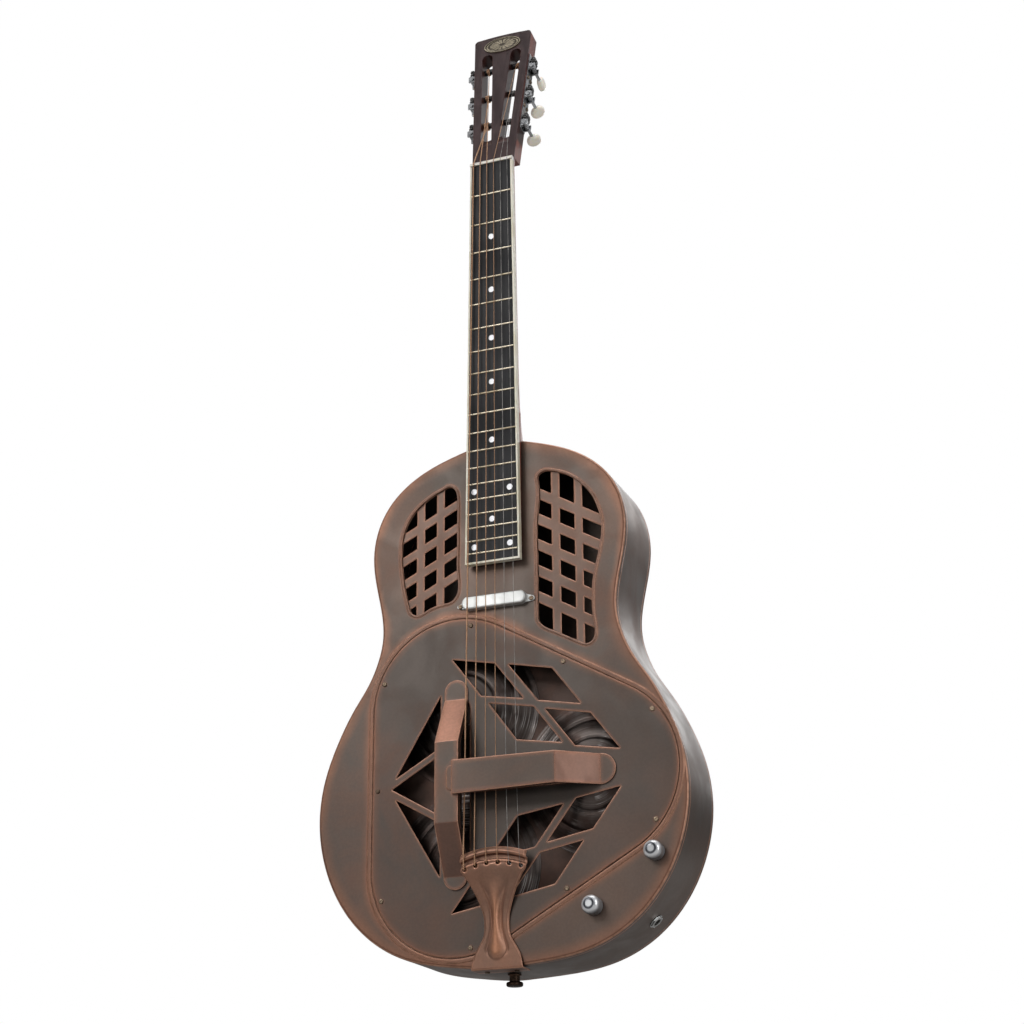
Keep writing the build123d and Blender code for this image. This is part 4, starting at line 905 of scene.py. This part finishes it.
# ------------------------------------------------------------------ tailpiece, mm
# z and half width of the sheet
TAIL_HALF = [
    (0.0, 24.4), (11.0, 22.0), (18.5, 18.0), (26.0, 13.6), (33.0, 12.0), (44.0, 12.2),
    (53.0, 14.6), (62.0, 18.0), (71.0, 22.4), (79.0, 27.0), (84.5, 31.2), (88.0, 31.5),
    (99.5, 32.0), (106.0, 32.0)]
# z and y of the plain face
TAIL_FACE = [
    (-2.0, -43.2), (10.0, -43.3), (22.0, -43.5), (48.0, -44.9), (72.0, -49.3),
    (88.0, -52.8), (107.0, -54.0)]
# z and half width of the raised spine
TAIL_SPINE = [
    (5.0, 0.2), (7.5, 4.0), (10.0, 6.6), (14.0, 8.4), (18.0, 8.4), (27.0, 5.9),
    (36.0, 4.2), (47.0, 4.2), (58.0, 6.2), (70.0, 10.5), (80.0, 15.0), (88.0, 20.0)]
# z and y of the skirt rows, from behind round to the foot of the face
TAIL_SKIRT = [
    (-1.62, -24.1), (-1.62, -27.0), (-1.62, -30.0), (-1.62, -34.0), (-1.62, -38.0),
    (-1.60, -41.4), (-1.35, -42.6)]
SKIRT_HALF = 24.3
TAIL_MAX_HALF = 31.9
HOLE_PITCH = 10.8
HOLE_RADIUS = 2.15
HOLES = [(-2.5 * HOLE_PITCH + HOLE_PITCH * i, z)
         for i, z in enumerate((86.4, 89.2, 90.8, 90.8, 89.2, 86.4))]
TAIL_COLUMNS, TAIL_ROWS = 112, 190
TAIL_THICK = 0.0012  # metres


def tail_y(x, z):
    """y of the front of the sheet."""
    y = lookup(TAIL_FACE, z)
    half = max(lookup(TAIL_HALF, z), 1.0)
    if z < 90.0:
        # Spoon-shaped spine, with a groove down each side
        spine = max(lookup(TAIL_SPINE, z), 0.3)
        height = 3.3 * step(6.0, 13.0, z) * (1.0 - 0.86 * step(46.0, 84.0, z))
        y -= height * (max(0.0, 1.0 - min(abs(x) / spine, 1.0) ** 2) ** 1.3)
        groove = exp(-((abs(x) - spine * 1.12) / 1.5) ** 2)
        y += (0.75 * groove * step(8.0, 16.0, z) * (1.0 - step(60.0, 80.0, z))
              * step(half, half - 2.5, abs(x)))
    # Side edges turned back
    y += 1.5 * (1.0 - step(0.0, 2.4, half - abs(x))) ** 2 * step(4.0, 12.0, z)
    # Above an arched lip: a recess, a rolled ridge and the top edge turned back
    above = z - (86.9 + 6.6 * (1.0 - (x / 32.0) ** 2))
    if above > 0:
        y += 3.2 * step(0.0, 1.3, above) * (1.0 - step(4.6, 6.0, above))
        y -= 0.9 * exp(-((above - 7.6) / 1.35) ** 2)
        y += 1.7 * step(9.2, 12.2, above)
    # Raised bead just below the lip
    y -= 0.45 * exp(-((above + 1.0) / 0.9) ** 2)
    return max(y, -55.25)


def tail_grid():
    """Vertices and faces of the sheet: skirt rows, then face rows upward."""
    verts, faces = [], []
    spread = [-1 + 2 * k / TAIL_COLUMNS for k in range(TAIL_COLUMNS + 1)]
    for z, y in TAIL_SKIRT:
        for v in spread:
            verts.append((v * SKIRT_HALF / 1000, y / 1000, z / 1000))
    for i in range(TAIL_ROWS + 1):
        z = -0.6 + 107.0 * i / TAIL_ROWS
        for v in spread:
            # Columns crowd towards the sides, and upper rows follow the arched top
            v = copysign(1 - (1 - abs(v)) ** 1.15, v)
            x = v * min(lookup(TAIL_HALF, min(z, 105.5)), TAIL_MAX_HALF)
            top = 105.2 - 6.0 * (x / 32.0) ** 2
            row_z = z if z < 60 else 60 + (z - 60) * (top - 60) / (106.4 - 60)
            x = v * min(lookup(TAIL_HALF, row_z), TAIL_MAX_HALF)
            verts.append((x / 1000, tail_y(x, row_z) / 1000, row_z / 1000))
    stride = TAIL_COLUMNS + 1
    for i in range(len(TAIL_SKIRT) + TAIL_ROWS):
        for k in range(TAIL_COLUMNS):
            a = i * stride + k
            faces.append((a, a + 1, a + stride + 1, a + stride))
    return verts, faces


def cut_string_holes(mesh):
    bm = bmesh.new()
    bm.from_mesh(mesh)

    def face_verts(hole_x, hole_z, radius):
        return [v for v in bm.verts if v.co.y < -0.046
                and hypot(v.co.x * 1000 - hole_x, v.co.z * 1000 - hole_z) < radius]

    for hole_x, hole_z in HOLES:
        inside = face_verts(hole_x, hole_z, HOLE_RADIUS - 0.18)
        bmesh.ops.delete(bm, geom=inside, context="VERTS")
        # Pull the ragged rim onto the circle
        for v in face_verts(hole_x, hole_z, HOLE_RADIUS + 1.1):
            if not v.is_boundary:
                continue
            dx, dz = v.co.x * 1000 - hole_x, v.co.z * 1000 - hole_z
            d = hypot(dx, dz)
            x, z = hole_x + dx / d * HOLE_RADIUS, hole_z + dz / d * HOLE_RADIUS
            v.co = Vector((x, tail_y(x, z), z)) / 1000
    bm.to_mesh(mesh)
    bm.free()


def tailpiece():
    """One pressed sheet, thickened towards the body."""
    piece = mesh_object("tailpiece_sheet", *tail_grid(), MATS["tail_copper"])
    # Faces point away from the body
    if sum(face.normal.y for face in piece.data.polygons) > 0:
        piece.data.flip_normals()
    cut_string_holes(piece.data)
    solidify = piece.modifiers.new("thick", "SOLIDIFY")
    solidify.thickness = TAIL_THICK
    solidify.offset = -1.0
    bpy.context.view_layer.update()
    depsgraph = bpy.context.evaluated_depsgraph_get()
    mesh = bpy.data.meshes.new_from_object(piece.evaluated_get(depsgraph))
    piece.modifiers.clear()
    piece.data = mesh
    sharpen(piece, 42.0)
    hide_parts("tailpiece")
    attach(piece, "guitar")


tailpiece()

# ------------------------------------------------------------------ string wraps, metres
STRING_RADII = {"low_e": 0.00070, "a": 0.00054, "d": 0.00042, "g": 0.00032,
                "b": 0.00023, "high_e": 0.00019}
POST_RADIUS = 0.0030
WRAP_GAP = 0.00004
WRAP_START = -0.0145  # along the post axis from its joint
WRAP_TURNS = 3.6
WRAP_STEPS = int(WRAP_TURNS * 28)
HEAD_NORMAL = Vector((0.0, -TILT_COS, TILT_SIN))


def string_wrap(name, radius):
    """Coil of string round its tuner post."""
    joint = JOINTS["post_" + name]
    axis = Vector(joint["axis"]).normalized()
    centre = Vector(joint["pos_m"]) + axis * WRAP_START
    coil_radius = POST_RADIUS + radius + WRAP_GAP
    pitch = 2.12 * radius
    forward = (HEAD_NORMAL - axis * HEAD_NORMAL.dot(axis)).normalized()
    across = axis.cross(forward)
    path = []
    for i in range(WRAP_STEPS + 1):
        angle = 2 * pi * WRAP_TURNS * i / WRAP_STEPS
        path.append(centre + (forward * cos(angle) + across * sin(angle)) * coil_radius
                    + axis * (pitch * angle / (2 * pi)))
    slot = "steel_string" if name in ("b", "high_e") else "bronze_string"
    piece = mesh_object("string_wrap_" + name, *tube(path, radius, 10), MATS[slot])
    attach(piece, "tuner_post_" + name)


for name, radius in STRING_RADII.items():
    string_wrap(name, radius)


# ------------------------------------------------------------------ stage
def floor_material():
    """Pale floor, white to the camera far out and unseen from below."""
    g = material_graph("pale_floor")
    rays = g.shared("ShaderNodeLightPath")
    camera_ray = rays["Is Camera Ray"]
    cloud = g.noise(scale=3.0)
    colour = g.mix(g.fade(cloud, 0.4, 0.6), srgb(150, 150, 150), srgb(146, 146, 147))
    colour = g.mix(g.mul(g.sub(1.0, camera_ray), 1.0), colour, srgb(138, 136, 134))
    far = g.fade(g.vec("LENGTH", g.vec("MULTIPLY", g.place, (1.0, 1.0, 0.0))), 1.2, 4.5)
    glow = g.fade(far, 0.0, 1.0, low=0.62)
    glow = g.add(g.mul(camera_ray, glow), g.mul(rays["Is Glossy Ray"], 0.19))
    colour = g.mix(g.mul(far, camera_ray), colour, (0.0, 0.0, 0.0, 1.0))
    surface = g.principled(colour, 0.85, Specular_IOR_Level=0.1,
                           Emission_Color=(1.0, 1.0, 1.0, 1.0), Emission_Strength=glow)
    clear = g.new("ShaderNodeBsdfTransparent").outputs[0]
    g.mix_shader(g.shared("ShaderNodeNewGeometry")["Backfacing"], surface, clear)
    return g.owner


def build_floor():
    z = CAD_LO.z - 0.0006
    half = 12.0
    mesh = bpy.data.meshes.new("floor")
    corners = [(-half, -half, z), (half, -half, z), (half, half, z), (-half, half, z)]
    mesh.from_pydata(corners, [], [(0, 1, 2, 3)])
    mesh.update()
    floor = bpy.data.objects.new("floor", mesh)
    bpy.context.scene.collection.objects.link(floor)
    mesh.materials.append(floor_material())


# Direction height, 0 straight down to 1 straight up, and grey level
SKY = [(0.0, 0.42), (0.40, 0.34), (0.49, 0.16), (0.56, 0.22), (0.66, 0.60),
       (0.85, 0.74), (1.0, 0.70)]


def build_world():
    """White to the camera, a soft grey gradient to every other ray."""
    world = bpy.data.worlds.new("studio")
    bpy.context.scene.world = world
    g = Graph(world, "ShaderNodeOutputWorld")

    def background(colour, strength):
        node = g.new("ShaderNodeBackground")
        g.put(node.inputs[0], colour)
        g.put(node.inputs[1], strength)
        return node.outputs[0]

    white = background((1, 1, 1, 1), strength=1.0)
    up = g.split(g.shared("ShaderNodeTexCoord")["Generated"])[2]
    height = g.fade(up, -1.0, 1.0, shape="LINEAR")
    sky = g.ramp(height, [(at, (grey, grey, grey * 1.01, 1)) for at, grey in SKY])
    gradient = background(sky, strength=0.52)
    g.mix_shader(g.shared("ShaderNodeLightPath")["Is Camera Ray"], gradient, white)


# Name, place, target, width and height, watts
LIGHTS = [
    ("key", (-1.25, -2.3, 1.75), (0.0, 0.0, 0.35), (1.5, 1.5), 26.0),
    ("fill", (2.1, -1.4, 0.9), (0.0, 0.0, 0.35), (0.9, 1.8), 14.0),
    ("top", (0.2, -0.2, 2.6), (0.0, 0.0, 0.4), (1.6, 1.0), 14.0),
    ("back", (0.0, 3.3, 2.0), (0.0, 0.0, 0.35), (2.2, 2.0), 31.0),
    ("low", (-0.5, -2.4, 0.0), (0.0, 0.0, 0.2), (1.4, 0.9), 6.0),
]


def area_light(name, place, target, size, power):
    light = bpy.data.lights.new(name, "AREA")
    light.shape = "RECTANGLE"
    light.size, light.size_y = size
    light.energy = power
    lamp = bpy.data.objects.new(name, light)
    bpy.context.scene.collection.objects.link(lamp)
    lamp.location = place
    lamp.rotation_mode = "QUATERNION"
    lamp.rotation_quaternion = (Vector(target) - Vector(place)).to_track_quat("-Z", "Y")
    lamp.visible_camera = False


# Camera axes and place
CAMERA_RIGHT = (0.93050477, 0.36621861, -0.00669404)
CAMERA_UP = (0.13890464, -0.33590670, 0.93159658)
CAMERA_BACK = (0.33891943, -0.86778489, -0.36343225)
CAMERA_PLACE = (0.6608193, -1.6900200, -0.2699820)


def build_camera():
    lens = bpy.data.cameras.new("camera")
    camera = bpy.data.objects.new("camera", lens)
    scene = bpy.context.scene
    scene.collection.objects.link(camera)
    pose = Matrix((CAMERA_RIGHT, CAMERA_UP, CAMERA_BACK)).transposed().to_4x4()
    pose.translation = Vector(CAMERA_PLACE)
    camera.matrix_world = pose
    lens.sensor_fit = "HORIZONTAL"
    lens.sensor_width = 36.0
    lens.lens = 70.166
    lens.shift_x = -0.000252
    lens.shift_y = 0.006829
    lens.clip_start, lens.clip_end = 0.02, 60.0
    scene.camera = camera
    scene.view_settings.view_transform = "Standard"
    scene.view_settings.look = "None"
    scene.view_settings.exposure = 0.0


build_floor()
build_world()
for light in LIGHTS:
    area_light(*light)
build_camera()
